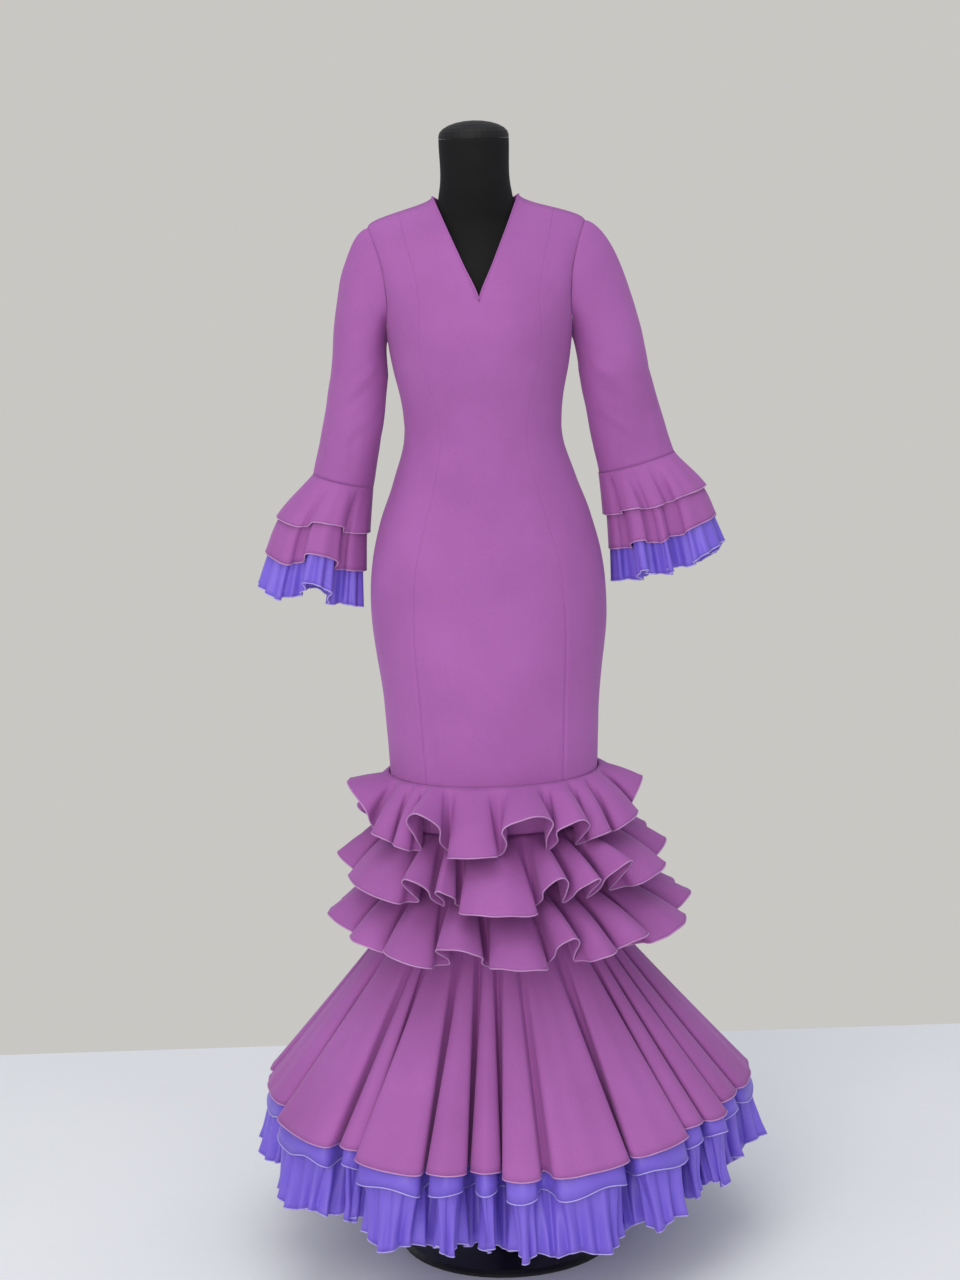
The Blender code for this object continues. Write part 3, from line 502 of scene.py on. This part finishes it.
def hermite(knots, values, x, closed=False):
    """Smooth curve through values at uneven knots, read at x."""
    knots, values, x = np.asarray(knots, float), np.asarray(values, float), np.asarray(x, float)
    gaps = np.diff(knots)
    slopes = np.diff(values, axis=0) / gaps[:, None]
    before, after = np.roll(gaps, 1), gaps
    tangents = (np.roll(slopes, 1, axis=0) * after[:, None] + slopes * before[:, None]) \
        / (before + after)[:, None]
    if closed:
        tangents = np.vstack([tangents, tangents[:1]])
    else:
        tangents[0] = slopes[0]
        tangents = np.vstack([tangents, slopes[-1:]])
    span = np.clip(np.searchsorted(knots, x, side="right") - 1, 0, len(gaps) - 1)
    step = gaps[span][:, None]
    t = (x[:, None] - knots[span][:, None]) / step
    return ((2 * t ** 3 - 3 * t ** 2 + 1) * values[span] + (t ** 3 - 2 * t ** 2 + t) * step * tangents[span]
            + (3 * t ** 2 - 2 * t ** 3) * values[span + 1] + (t ** 3 - t ** 2) * step * tangents[span + 1])


def lengths_along(points):
    """Length from the first of a row of points to each one."""
    return np.concatenate([[0.0], np.cumsum(np.linalg.norm(np.diff(points, axis=0), axis=1))])


def even_loop(points, degrees, count):
    """A closed smooth curve through points, read at even lengths: points, seam angles, lengths."""
    loop = np.vstack([points, points[:1]])
    knots = lengths_along(loop)
    fine = np.linspace(0.0, knots[-1], count * 4 + 1)
    line = hermite(knots, loop, fine, closed=True)
    angle = np.interp(fine, knots, np.concatenate([degrees, [degrees[0] + 360.0]]))
    length = lengths_along(line)
    even = np.linspace(0.0, length[-1], count, endpoint=False)
    return np.column_stack([np.interp(even, length, line[:, axis]) for axis in range(3)]), \
        np.interp(even, length, angle), even


def body_ring(z, inset=0.0):
    """The body's section at a height, moved in by inset."""
    table = np.array(BODY_SECTIONS)
    half_width, front, back, square = hermite(table[:, 0], table[:, 1:5], [z])[0]
    return Ring(z, half_width - inset, front - inset, back - inset, square, 0.0, 0.0, 0.0)


def power(value, exponent):
    """A power that keeps the sign."""
    return np.copysign(np.abs(value) ** exponent, value)


def ring_frame(ring, degrees):
    """Points on a ring, with the level directions along it and out of it."""
    turn = np.radians(np.asarray(degrees, float))
    sine, cosine = np.sin(turn), np.cos(turn)
    depth = np.where(cosine > 0, ring.front_depth, ring.back_depth)
    x = ring.half_width * power(sine, 2 / ring.square)
    y = -depth * power(cosine, 2 / ring.square)
    point = np.stack([ring.centre_x + x, ring.centre_y + y, ring.z + ring.tilt * x], axis=-1)
    out_x = power(x / ring.half_width, ring.square - 1) / ring.half_width
    out_y = power(y / depth, ring.square - 1) / depth
    size = np.hypot(out_x, out_y)
    outward = np.stack([out_x / size, out_y / size, np.zeros_like(out_x)], axis=-1)
    along = np.stack([-outward[..., 1], outward[..., 0], np.zeros_like(out_x)], axis=-1)
    return point, along, outward


def fold_point(ring, degrees, across, reach, lift, rise):
    """A point beside a ring's angle: across along the ring, reach out of it, raised by both."""
    point, along, outward = ring_frame(ring, degrees)
    return point + along * across + outward * reach + np.array([0.0, 0.0, lift * reach + rise])


def folded_hem(ring, folds, inset=0.0, lift=0.0, mouth_set=MOUTH_SET):
    """Hem points of a folded layer, each with the seam angle that it hangs from."""
    cells = []
    for index, fold in enumerate(folds):
        before = folds[index - 1]
        half_mouth, half_pocket = fold.mouth / 2 + inset, fold.pocket / 2 + inset
        rise_before = before.rise + before.lean / 2
        rise_after = fold.rise - fold.lean / 2
        left = [
            fold_point(ring, fold.valley, -half_mouth, before.reach - mouth_set * fold.depth - inset, lift,
                       MOUTH_RISE * rise_before),
            fold_point(ring, fold.valley, -half_pocket, before.reach - POCKET_SET * fold.depth - inset, lift,
                       POCKET_RISE * rise_before),
        ]
        bottom = fold_point(ring, fold.valley, 0.0, (before.reach + fold.reach) / 2 - fold.depth - inset,
                            lift, 0.0)
        right = [
            fold_point(ring, fold.valley, half_pocket, fold.reach - POCKET_SET * fold.depth - inset, lift,
                       POCKET_RISE * rise_after),
            fold_point(ring, fold.valley, half_mouth, fold.reach - mouth_set * fold.depth - inset, lift,
                       MOUTH_RISE * rise_after),
        ]
        cells.append((left, bottom, right))
    points, degrees = [], []
    for index, fold in enumerate(folds):
        following = (index + 1) % len(folds)
        start = fold.valley
        end = folds[following].valley + (360 if following == 0 else 0)
        crown = fold_point(ring, (start + end) / 2, 0.0, fold.reach - inset, lift, fold.rise)
        span = [cells[index][1], *cells[index][2], crown, *cells[following][0], cells[following][1]]
        lengths = lengths_along(span)
        points += span[:-1]
        degrees += list(start + (end - start) * lengths[:-1] / lengths[-1])
    return np.array(points), np.array(degrees)


def flared_rows(seam, hem, shares, outs, bow=0.0):
    """Rows of a flared layer at shares of its drop, each at its share out; bow swells the middle."""
    rows = []
    for share, out in zip(shares, outs):
        swollen = out + bow * math.sin(math.pi * share) * (1 - out * 0.5)
        row = seam + (hem - seam) * swollen
        row[:, 2] = seam[:, 2] + (hem[:, 2] - seam[:, 2]) * share
        rows.append(row)
    return np.array(rows)


def clear_of_body(points, gap):
    """Moves points out of the body's side, so that a cuff hangs just beside the hip."""
    table = np.array(BODY_SECTIONS)
    flat = points.reshape(-1, 3)
    section = hermite(table[:, 0], table[:, 1:5], flat[:, 2])
    depth = np.where(flat[:, 1] < 0, section[:, 1], section[:, 2]) + gap
    square = section[:, 3]
    reach = (np.abs(flat[:, 0] / (section[:, 0] + gap)) ** square
             + np.abs(flat[:, 1] / depth) ** square) ** (1 / square)
    scale = np.where(reach < 1, 1 / np.maximum(reach, 1e-6), 1.0)
    moved = flat.copy()
    moved[:, :2] *= scale[:, None]
    return moved.reshape(points.shape)


# ---------------------------------------------------------------- meshes

def mesh_object(name, verts, faces, material, weld=False):
    """A smooth object from points and faces; weld joins the halves of a panel at the centre."""
    mesh = bpy.data.meshes.new(name)
    mesh.from_pydata(verts, [], faces)
    if weld:
        work = bmesh.new()
        work.from_mesh(mesh)
        bmesh.ops.remove_doubles(work, verts=work.verts, dist=WELD)
        work.to_mesh(mesh)
        work.free()
    mesh.materials.append(material)
    mesh.shade_smooth()
    item = bpy.data.objects.new(name, mesh)
    bpy.context.scene.collection.objects.link(item)
    return item


def grid_object(name, parts, closed, material, wall):
    """A sheet from grids of points whose rows run down and whose columns run front to +X."""
    verts, faces, offset = [], [], 0
    for points in parts:
        rows, columns = points.shape[:2]
        verts.append(points.reshape(-1, 3))
        index = np.arange(rows * columns).reshape(rows, columns) + offset
        right = np.roll(index, -1, axis=1)
        if not closed:
            index, right = index[:, :-1], right[:, :-1]
        faces.append(np.stack([index[:-1], index[1:], right[1:], right[:-1]], axis=-1).reshape(-1, 4))
        offset += rows * columns
    item = mesh_object(name, np.vstack(verts).tolist(), np.vstack(faces).tolist(), material, weld=True)
    if wall:
        solid = item.modifiers.new("cloth", "SOLIDIFY")
        solid.thickness = wall
        solid.offset = 0.0
    return item


def edge_tube(name, path, side, radius, closed, material, sides=6):
    """A rolled edge along a path; side gives the cloth's direction there."""
    if closed:
        tangent = np.roll(path, -1, axis=0) - np.roll(path, 1, axis=0)
    else:
        tangent = np.gradient(path, axis=0)
    tangent /= np.linalg.norm(tangent, axis=1)[:, None]
    side = side - tangent * np.sum(side * tangent, axis=1)[:, None]
    side /= np.maximum(np.linalg.norm(side, axis=1)[:, None], 1e-9)
    across = np.cross(tangent, side)
    turns = np.arange(sides) * 2 * math.pi / sides
    ring = path[:, None, :] + radius * (np.cos(turns)[None, :, None] * side[:, None, :]
                                        + np.sin(turns)[None, :, None] * across[:, None, :])
    count = len(path)
    index = np.arange(count * sides).reshape(count, sides)
    following = np.roll(index, -1, axis=0)
    if not closed:
        index, following = index[:-1], following[:-1]
    faces = np.stack([index, np.roll(index, -1, axis=1), np.roll(following, -1, axis=1), following],
                     axis=-1).reshape(-1, 4).tolist()
    if not closed:
        last = (count - 1) * sides
        faces += [list(range(sides))[::-1], list(range(last, last + sides))]
    return mesh_object(name, ring.reshape(-1, 3).tolist(), faces, material)


def normals(points, closed):
    """Normals of a grid, facing out."""
    down = np.gradient(points, axis=0)
    if closed:
        across = np.roll(points, -1, axis=1) - np.roll(points, 1, axis=1)
    else:
        across = np.gradient(points, axis=1)
    normal = np.cross(down, across)
    return normal / np.maximum(np.linalg.norm(normal, axis=2)[..., None], 1e-9)


def creased(points, closed, creases, wander):
    """Moves a grid along its normals by listed creases and a slow unevenness."""
    flat = points.reshape(-1, 3)
    height = np.array([wander * (noise.noise(Vector(point) * SLOW_WANDER)
                                 + 0.5 * noise.noise(Vector(point) * QUICK_WANDER)) for point in flat])
    for crease in creases:
        line = crease.end - crease.start
        along = np.clip((flat - crease.start) @ line / (line @ line), 0.0, 1.0)
        away = np.linalg.norm(flat - (crease.start + along[:, None] * line), axis=1)
        ridge = np.exp(-(away / crease.width) ** 2) \
            - FLANK_DEPTH * np.exp(-(away / (FLANK_WIDTH * crease.width)) ** 2)
        height += crease.height * ridge * np.sin(math.pi * np.clip(along, 0.02, 0.98)) ** 0.6
    return points + normals(points, closed) * height.reshape(points.shape[:2])[..., None]


def softened(rows, lengths, reach):
    """Rows of a closed layer with their folds rounded off over a reach of cloth."""
    step = lengths[1] - lengths[0]
    span = int(3 * reach / step)
    weights = np.exp(-0.5 * (np.arange(-span, span + 1) * step / reach) ** 2)
    weights /= weights.sum()
    return sum(weight * np.roll(rows, shift, axis=1)
               for shift, weight in zip(range(-span, span + 1), weights))


def waved(lengths, wave):
    """An uneven wave along a length: its pace and its height both wander."""
    value = []
    for length in lengths:
        pace = noise.noise(Vector((length / (wave.length * PACE_WANDER), wave.seed, 0.0)))
        size = noise.noise(Vector((length / (wave.length * SIZE_WANDER), wave.seed, 5.0)))
        turns = length / wave.length + PACE_RANGE * pace
        value.append((SIZE_MEAN + SIZE_RANGE * size) * math.sin(2 * math.pi * turns))
    return np.array(value)[None, :] * wave.height


# ---------------------------------------------------------------- pieces

def finish_piece(item, node):
    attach(item, "root")
    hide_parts(node)
    return item


def layer(node, rows, kind, stuff):
    """A ring-shaped layer of crepe or taffeta with its overlocked hem: (cloth, [edge])."""
    wall, edge_radius = CLOTHS[kind]
    item = grid_object(node + "_cloth", [rows], True, stuff[kind], wall)
    edge = edge_tube(node + "_edge", rows[-1], rows[-1] - rows[-2], edge_radius, True,
                     stuff[kind + " thread"])
    return finish_piece(item, node), [finish_piece(edge, node)]


def body_rows(front):
    facing = -1 if front else 1
    rows = []
    for z, half_width, front_depth, back_depth, square, princess in BODY_SECTIONS:
        depth = front_depth if front else back_depth
        rows.append(Row((0.0, facing * depth, z), (half_width, 0.0, z), square, princess))
    return rows + list(FRONT_YOKE if front else BACK_YOKE)


def body_surface(front):
    """Smooth rows of the body's front or back, shoulder to hem: inner, outer, square, princess."""
    rows = body_rows(front)
    knots = [(row.inner[2] + row.outer[2]) / 2 for row in rows]
    values = [[*row.inner, *row.outer, row.square, row.princess] for row in rows]
    heights = np.linspace(knots[-1], knots[0], BODY_ROWS)
    table = hermite(knots, values, heights)
    table[:, 0] = np.maximum(table[:, 0], 0.0)
    return table


def body_grid(table, shares, side, front):
    """Points of the body at shares of each row's quarter, creased; columns run towards +X."""
    sine = np.sin(shares * math.pi / 2)
    cosine = np.cos(shares * math.pi / 2)
    square = table[:, 6][:, None]
    x = table[:, 0][:, None] + (table[:, 3] - table[:, 0])[:, None] * sine ** (2 / square)
    y = table[:, 4][:, None] + (table[:, 1] - table[:, 4])[:, None] * cosine ** (2 / square)
    z = table[:, 2][:, None] + (table[:, 5] - table[:, 2])[:, None] * shares
    y = y + (-SEAM_GAP if front else SEAM_GAP)
    grid = np.stack([side * x, y, z], axis=-1)
    if not front:
        grid = grid + np.array([side * SEAM_GAP, 0.0, 0.0])
    if (side < 0) == front:
        grid = grid[:, ::-1]
    return creased(grid, False, BODY_CREASES, BODY_WANDER)


def seam_groove(points, from_edge, depth):
    """Turns a panel's edge in, as where two panels are stitched and pressed open."""
    length = np.linalg.norm(np.diff(points, axis=1), axis=2)
    along = np.concatenate([np.zeros((len(points), 1)), np.cumsum(length, axis=1)], axis=1)
    away = along if from_edge == "first" else along[:, -1:] - along
    strength = depth * np.clip((GROOVE_FADE_Z - points[..., 2]) / GROOVE_FADE, GROOVE_LEAST, 1.0)
    pressed = PRESSED_HEIGHT * np.exp(-((away - PRESSED_AT) / PRESSED_WIDTH) ** 2)
    groove = strength * (pressed - np.exp(-(away / GROOVE_WIDTH) ** 2))
    return points + normals(points, False) * groove[..., None]


def both_seams(grid, side, front, depth):
    """Stitches a panel along its inner seam and its side seam."""
    inner, outer = ("last", "first") if (side < 0) == front else ("first", "last")
    return seam_groove(seam_groove(grid, inner, depth), outer, SIDE_GROOVE)


def clustered(count, both_ends):
    """0 to 1 in steps that get finer towards both ends, or only towards 1."""
    t = np.linspace(0.0, 1.0, count)
    return (1 - np.cos(math.pi * t)) / 2 if both_ends else 1 - (1 - t) ** 2


def make_body(stuff):
    """Centre front, side fronts and backs, with a rolled neckline."""
    front, back = body_surface(True), body_surface(False)
    princess = front[:, 7][:, None]
    items = {}

    def panel(name, grids):
        item = grid_object(name + "_cloth", grids, False, stuff["crepe"], CREPE_WALL)
        items[name] = (finish_piece(item, name), [])

    halves = []
    for side in (-1, 1):
        shares = clustered(CENTRE_COLUMNS, False)[None, :] * (princess - PRINCESS_GAP)
        grid = body_grid(front, shares, side, True)
        halves.append(seam_groove(grid, "first" if side < 0 else "last", PRINCESS_GROOVE))
    middle = (halves[0][:, -1] + halves[1][:, 0]) / 2
    joined = front[:, 0] < NECK_OPENS
    halves[0][joined, -1] = middle[joined]
    halves[1][joined, 0] = middle[joined]
    panel("body_front_centre", halves)

    backs = {}
    for side, name in ((-1, "left"), (1, "right")):
        start = princess + PRINCESS_GAP
        shares = start + (1 - start) * clustered(SIDE_COLUMNS, True)[None, :]
        grid = body_grid(front, shares, side, True)
        panel(f"body_front_side_{name}", [both_seams(grid, side, True, PRINCESS_GROOVE)])

        shares = np.repeat(clustered(BACK_COLUMNS, True)[None, :], BODY_ROWS, axis=0)
        grid = body_grid(back, shares, side, False)
        backs[name] = both_seams(grid, side, False, BACK_GROOVE)
        panel(f"body_back_{name}", [backs[name]])

    open_front, open_back = ~joined, back[:, 0] > NECK_OPENS
    front_line = np.vstack([halves[0][:, -1][open_front], halves[1][:, 0][open_front][::-1]])
    back_line = np.vstack([backs["left"][:, 0][open_back], backs["right"][:, -1][open_back][::-1]])
    for name, path, node in (("neckline_front", front_line, "body_front_centre"),
                             ("neckline_back", back_line, "body_back_left")):
        side = np.tile(np.array([0.0, 0.0, 1.0]), (len(path), 1))
        item = edge_tube(name, path, side, PIPING, False, stuff["crepe"], 8)
        items[node][1].append(finish_piece(item, node))
    return items


def armhole(sign):
    """Shares round an armhole, from the underarm through the front, and the points there."""
    first = len(BODY_SECTIONS) - 1
    front = [row.outer for row in body_rows(True)[first:]]
    back = [row.outer for row in body_rows(False)[first:]]
    back[-1] = front[-1] = (front[-1][0], 0.0, front[-1][2])
    shares = list(np.linspace(0.0, 0.5, len(front))) + list(np.linspace(0.5, 1.0, len(back))[1:])
    points = np.array(front + back[::-1][1:]) * np.array([sign, 1.0, 1.0])
    even = np.linspace(0.0, 1.0, SLEEVE_COLUMNS, endpoint=False)
    return even, hermite(shares, points, even)


def sleeve_ring(section, shares, sign):
    z, centre_x, centre_y, half_width, half_depth, tilt = section
    turn = 2 * math.pi * shares
    x = -half_width * np.cos(turn) * sign
    return np.stack([centre_x + x, centre_y - half_depth * np.sin(turn), z + tilt * x], axis=-1)


def make_sleeve(name, stuff):
    """A one-piece sleeve: a rounded cap from the armhole, then a tube to the cuff seam."""
    sign, sections = SIDE_SIGN[name], SLEEVE_SECTIONS[name]
    shares, hole = armhole(sign)
    over = ((1 - np.cos(2 * math.pi * shares)) / 2)[:, None]
    ahead = np.array([sign, 0.0, 0.0])
    up = np.array([0.0, 0.0, 1.0])
    cap = SLEEVE_CAP
    start = hole + ahead * (cap.gap - cap.gap_closing * over)
    end = sleeve_ring(sections[0], shares, sign)
    leave = start + ahead * (cap.out + cap.out_over * over) - up * cap.drop_over * over
    arrive = end - ahead * cap.in_over * over + up * (cap.rise + cap.rise_over * over)
    rows = []
    for step in np.linspace(0.0, 1.0, CAP_ROWS)[:-1]:
        rest = 1 - step
        rows.append(start * rest ** 3 + leave * 3 * rest * rest * step
                    + arrive * 3 * rest * step * step + end * step ** 3)
    table = np.array(sections)
    knots = -table[:, 0]
    for value in hermite(knots, table, np.linspace(knots[0], knots[-1], TUBE_ROWS)):
        rows.append(sleeve_ring(value, shares, sign))
    grid = np.array(rows)
    if sign > 0:
        grid = grid[:, ::-1]
    grid = creased(grid, True, SLEEVE_CREASES[name], SLEEVE_WANDER)
    item = grid_object(f"sleeve_{name}_cloth", [grid], True, stuff["crepe"], CREPE_WALL)
    return finish_piece(item, f"sleeve_{name}"), []


def make_cuff(name, stuff):
    """Two circular ruffles and a violet frill, nested, hanging from the sleeve's end."""
    z, centre_x, centre_y, half_width, half_depth, tilt = SLEEVE_SECTIONS[name][-1]
    flare = np.array(CUFF_FLARE)
    items = {}
    for part, inset, first, last, columns in CUFF_LAYERS:
        seam_ring = Ring(z - SEAM_GAP, half_width - inset, half_depth - inset, half_depth - inset,
                         2.0, centre_x, centre_y, tilt)
        points, degrees = folded_hem(CUFF_HEM[name], CUFF_FOLDS[name], inset)
        behind = np.clip((points[:, 1] - CUFF_HEM[name].centre_y) / CUFF_BEHIND, 0.0, 1.0)
        points[:, 2] -= CUFF_BACK_DROP * behind
        hem, angle, lengths = even_loop(points, degrees, columns)
        seam = ring_frame(seam_ring, angle)[0]
        shares = np.linspace(first, last, CUFF_ROWS)
        rows = flared_rows(seam, hem, shares, hermite(flare[:, 0], flare[:, 1:], shares)[:, 0])
        down = ((shares - first) / (last - first))[:, None]
        if part == "frill":
            node, kind = f"sleeve_frill_{name}", "taffeta"
            relief = waved(lengths, CUFF_GATHERS) * (1 - down) ** 1.5 \
                + waved(lengths, CUFF_FRILL_WAVES) * down - CUFF_FRILL_TUCK * down
        else:
            node, kind = f"sleeve_ruffle_{part}_{name}", "crepe"
            relief = waved(lengths, CUFF_RUFFLE_WAVES) * np.sin(down * math.pi / 2)
        rows = rows + normals(rows, True) * relief[..., None]
        rows = clear_of_body(rows, CUFF_CLEARANCE + inset)
        items[node] = layer(node, rows, kind, stuff)
    return items


def make_knee_flounces(stuff):
    """Three short circular flounces, each sewn on the outside of the body."""
    items = {}
    for seed, (name, flounce) in enumerate(KNEE_FLOUNCES.items()):
        points, degrees = folded_hem(flounce.hem, flounce.folds, 0.0, flounce.lift)
        hem, angle, lengths = even_loop(points, degrees, KNEE_COLUMNS)
        seam = ring_frame(body_ring(flounce.seam_z, -KNEE_OFF_BODY), angle)[0]
        shares = np.linspace(0.0, 1.0, KNEE_ROWS)
        rows = flared_rows(seam, hem, shares, shares, KNEE_BOW)
        wave = KNEE_WAVES._replace(seed=KNEE_WAVES.seed + seed)
        relief = waved(lengths, wave) * (shares ** 1.2)[:, None]
        rows = rows + normals(rows, True) * relief[..., None]
        items[name] = layer(name, rows, "crepe", stuff)
    return items


def make_skirt(stuff):
    """The long flounce, the underskirt tier and its frill: one fold pattern, nested."""
    drop = SKIRT_TOP_Z - HEM_Z
    flounce_share = (SKIRT_TOP_Z - SKIRT_HEM_Z) / drop
    items = {}
    for part in SKIRT_LAYERS:
        points, degrees = folded_hem(SKIRT_HEM, SKIRT_FOLDS, part.inset, SKIRT_LIFT, SKIRT_MOUTH_SET)
        hem, angle, lengths = even_loop(points, degrees, part.columns)
        seam = ring_frame(body_ring(SKIRT_SEAM_Z, part.inset)._replace(z=SKIRT_TOP_Z), angle)[0]
        shares = np.linspace((SKIRT_TOP_Z - part.high) / drop, (SKIRT_TOP_Z - part.low) / drop, part.rows)
        outs = np.interp(shares, [0.0, flounce_share, 1.0], [0.0, SKIRT_FLARE, 1.0])
        rows = flared_rows(seam, hem, shares, outs)
        sideways = np.sin(np.radians(angle))[None, :] ** 2
        rows[..., 2] += SKIRT_SIDE_RAISE * shares[:, None] ** 1.3 * sideways
        down = ((shares - shares[0]) / (shares[-1] - shares[0]))[:, None]
        if part.name == "underskirt_frill":
            ease = FRILL_EASE * np.clip((down - FRILL_EASE_FROM) / FRILL_EASE_OVER, 0.0, 1.0)[..., None]
            rows = rows + (softened(rows, lengths, FRILL_SOFTENING) - rows) * ease
            relief = waved(lengths, FRILL_GATHERS) * (1 - down) ** 1.5 \
                + waved(lengths, FRILL_WAVES) * down ** 0.8 \
                + waved(lengths, FRILL_CLUMPS) * down ** 1.2 - FRILL_TUCK * down
            hem_relief = waved(lengths, FRILL_HEM_WAVES) * down
        else:
            relief = waved(lengths, SKIRT_WAVES) * down
            hem_relief = waved(lengths, TIER_HEM_WAVES) * down ** 3 if part.name == "underskirt" else 0.0
        rows = rows + normals(rows, True) * relief[..., None]
        rows[..., 2] += hem_relief
        items[part.name] = layer(part.name, rows, part.kind, stuff)
    return items


def make_form(stuff):
    """The padded torso in finer rings; its cap, pole and base keep their CAD shapes."""
    sections = [body_ring(FORM_BOTTOM_Z, FORM_BOTTOM_INSET)]
    for rise in FORM_ROUND_STEPS:
        sections.append(body_ring(FORM_BOTTOM_Z + rise, FORM_CLEARANCE + FORM_ROUND - rise))
    for z in np.linspace(FORM_BOTTOM_Z + FORM_STRAIGHT, FORM_STRAIGHT_TOP, FORM_STRAIGHT_ROWS):
        sections.append(body_ring(z, FORM_CLEARANCE))
    table = np.array(FORM_SECTIONS)
    for z in np.linspace(FORM_SECTIONS[0][0], NECK_TOP_Z, FORM_UPPER_ROWS):
        values = hermite(table[:, 0], table[:, 1:], [z])[0]
        sections.append(Ring(z, *values, 0.0, 0.0, 0.0))
    angles = np.arange(FORM_COLUMNS) * 360 / FORM_COLUMNS
    rows = np.array([ring_frame(section, angles)[0] for section in reversed(sections)])
    top, bottom = (np.broadcast_to(end.mean(axis=1, keepdims=True), end.shape)
                   for end in (rows[:1], rows[-1:]))
    item = grid_object("form_torso_cover", [np.concatenate([top, rows, bottom])], True,
                       stuff["jersey"], 0.0)
    finish_piece(item, "form_torso")
    for node, kind in (("form_neck_cap", "cap"), ("form_pole", "stand"), ("form_base", "stand")):
        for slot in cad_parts[node].material_slots:
            slot.material = stuff[kind]


# ---------------------------------------------------------------- cloth sizes
# What a sheet's cut holds, all round on a tube: the box it is cut from (metres), its flat area and how it is
# held.
# Flounces are ring-shaped cuts whose outer edge is the long side; frills are gathered strips.
Cut = namedtuple("Cut", "width length area held")


# ---------------------------------------------------------------- room, light and camera

FLOOR_SIDE = 4.0
FLOOR_FRONT = -6.0
FLOOR_BACK = 0.92
ROOM_LIGHT = 0.80             # strength of the even light from all round
Lamp = namedtuple("Lamp", "name place aim size watts colour")
LAMPS = (
    Lamp("front panel", (-1.2, -3.4, 3.0), (0.0, 0.0, 0.4), 2.6, 33.0, "#fffaf4"),
    Lamp("low panel", (-0.5, -2.9, 0.95), (0.0, 0.0, 0.35), 1.0, 16.0, "#fff6ee"),
    Lamp("ceiling panel", (-0.2, -1.2, 4.4), (0.0, 0.0, 0.5), 3.0, 42.0, "#ffffff"),
)
CAMERA_PLACE = (-0.015, -3.9, 1.7)
CAMERA_DOWN = 10.7            # degrees below level
CAMERA_ROLL = 1.9             # degrees
CAMERA_LENS = 73.1            # millimetres, on a 36 mm sensor


def make_room():
    """A pale floor, a plain grey surround and even light from all round."""
    mesh = bpy.data.meshes.new("floor")
    mesh.from_pydata([(-FLOOR_SIDE, FLOOR_FRONT, 0.0), (FLOOR_SIDE, FLOOR_FRONT, 0.0),
                      (FLOOR_SIDE, FLOOR_BACK, 0.0), (-FLOOR_SIDE, FLOOR_BACK, 0.0)], [], [(0, 1, 2, 3)])
    floor = bpy.data.objects.new("floor", mesh)
    bpy.context.scene.collection.objects.link(floor)
    # Painted board: matte and almost even, with a roller's grain of about 17 mm.
    mesh.materials.append(cloth_material("pale matte floor", "#f3f6f6", "#f8fafa", 1.5, 60.0, 0.99,
                                         0.0001, roughness=0.70, sheen=0.0, sheen_colour="#ffffff",
                                         specular=0.25))
    world = bpy.data.worlds.new("pale grey room")
    bpy.context.scene.world = world
    world.use_nodes = True
    tree = world.node_tree
    seen = tree.nodes["Background"]
    seen.inputs["Color"].default_value = linear("#c9c7c3")
    seen.inputs["Strength"].default_value = 1.0
    lighting = add_node(tree, "ShaderNodeBackground", (),
                        (("Color", linear("#d6d8e0")), ("Strength", ROOM_LIGHT)))
    path = add_node(tree, "ShaderNodeLightPath")
    either = add_node(tree, "ShaderNodeMixShader", (), (), (("Fac", path, "Is Camera Ray"),))
    tree.links.new(lighting.outputs[0], either.inputs[1])
    tree.links.new(seen.outputs[0], either.inputs[2])
    tree.links.new(either.outputs[0], tree.nodes["World Output"].inputs["Surface"])
    bpy.context.scene.view_settings.view_transform = "Standard"


def make_lamp(lamp):
    """A soft round panel, not seen by the camera."""
    data = bpy.data.lights.new(lamp.name, "AREA")
    data.shape = "DISK"
    data.size = lamp.size
    data.energy = lamp.watts
    data.color = linear(lamp.colour)[:3]
    item = bpy.data.objects.new(lamp.name, data)
    item.visible_camera = False
    bpy.context.scene.collection.objects.link(item)
    item.location = lamp.place
    item.rotation_euler = (Vector(lamp.aim) - Vector(lamp.place)).to_track_quat("-Z", "Y").to_euler()


def make_camera():
    data = bpy.data.cameras.new("camera")
    data.lens = CAMERA_LENS
    data.sensor_width = 36.0
    camera = bpy.data.objects.new("camera", data)
    bpy.context.scene.collection.objects.link(camera)
    pitch = Matrix.Rotation(math.radians(90 - CAMERA_DOWN), 4, "X")
    roll = Matrix.Rotation(math.radians(-CAMERA_ROLL), 4, "Z")
    camera.matrix_world = Matrix.Translation(CAMERA_PLACE) @ pitch @ roll
    bpy.context.scene.camera = camera


def main():
    stuff = make_materials()
    make_form(stuff)
    items = make_body(stuff)
    for name in ("left", "right"):
        items[f"sleeve_{name}"] = make_sleeve(name, stuff)
        items.update(make_cuff(name, stuff))
    items.update(make_knee_flounces(stuff))
    items.update(make_skirt(stuff))
    make_room()
    for lamp in LAMPS:
        make_lamp(lamp)
    make_camera()


main()
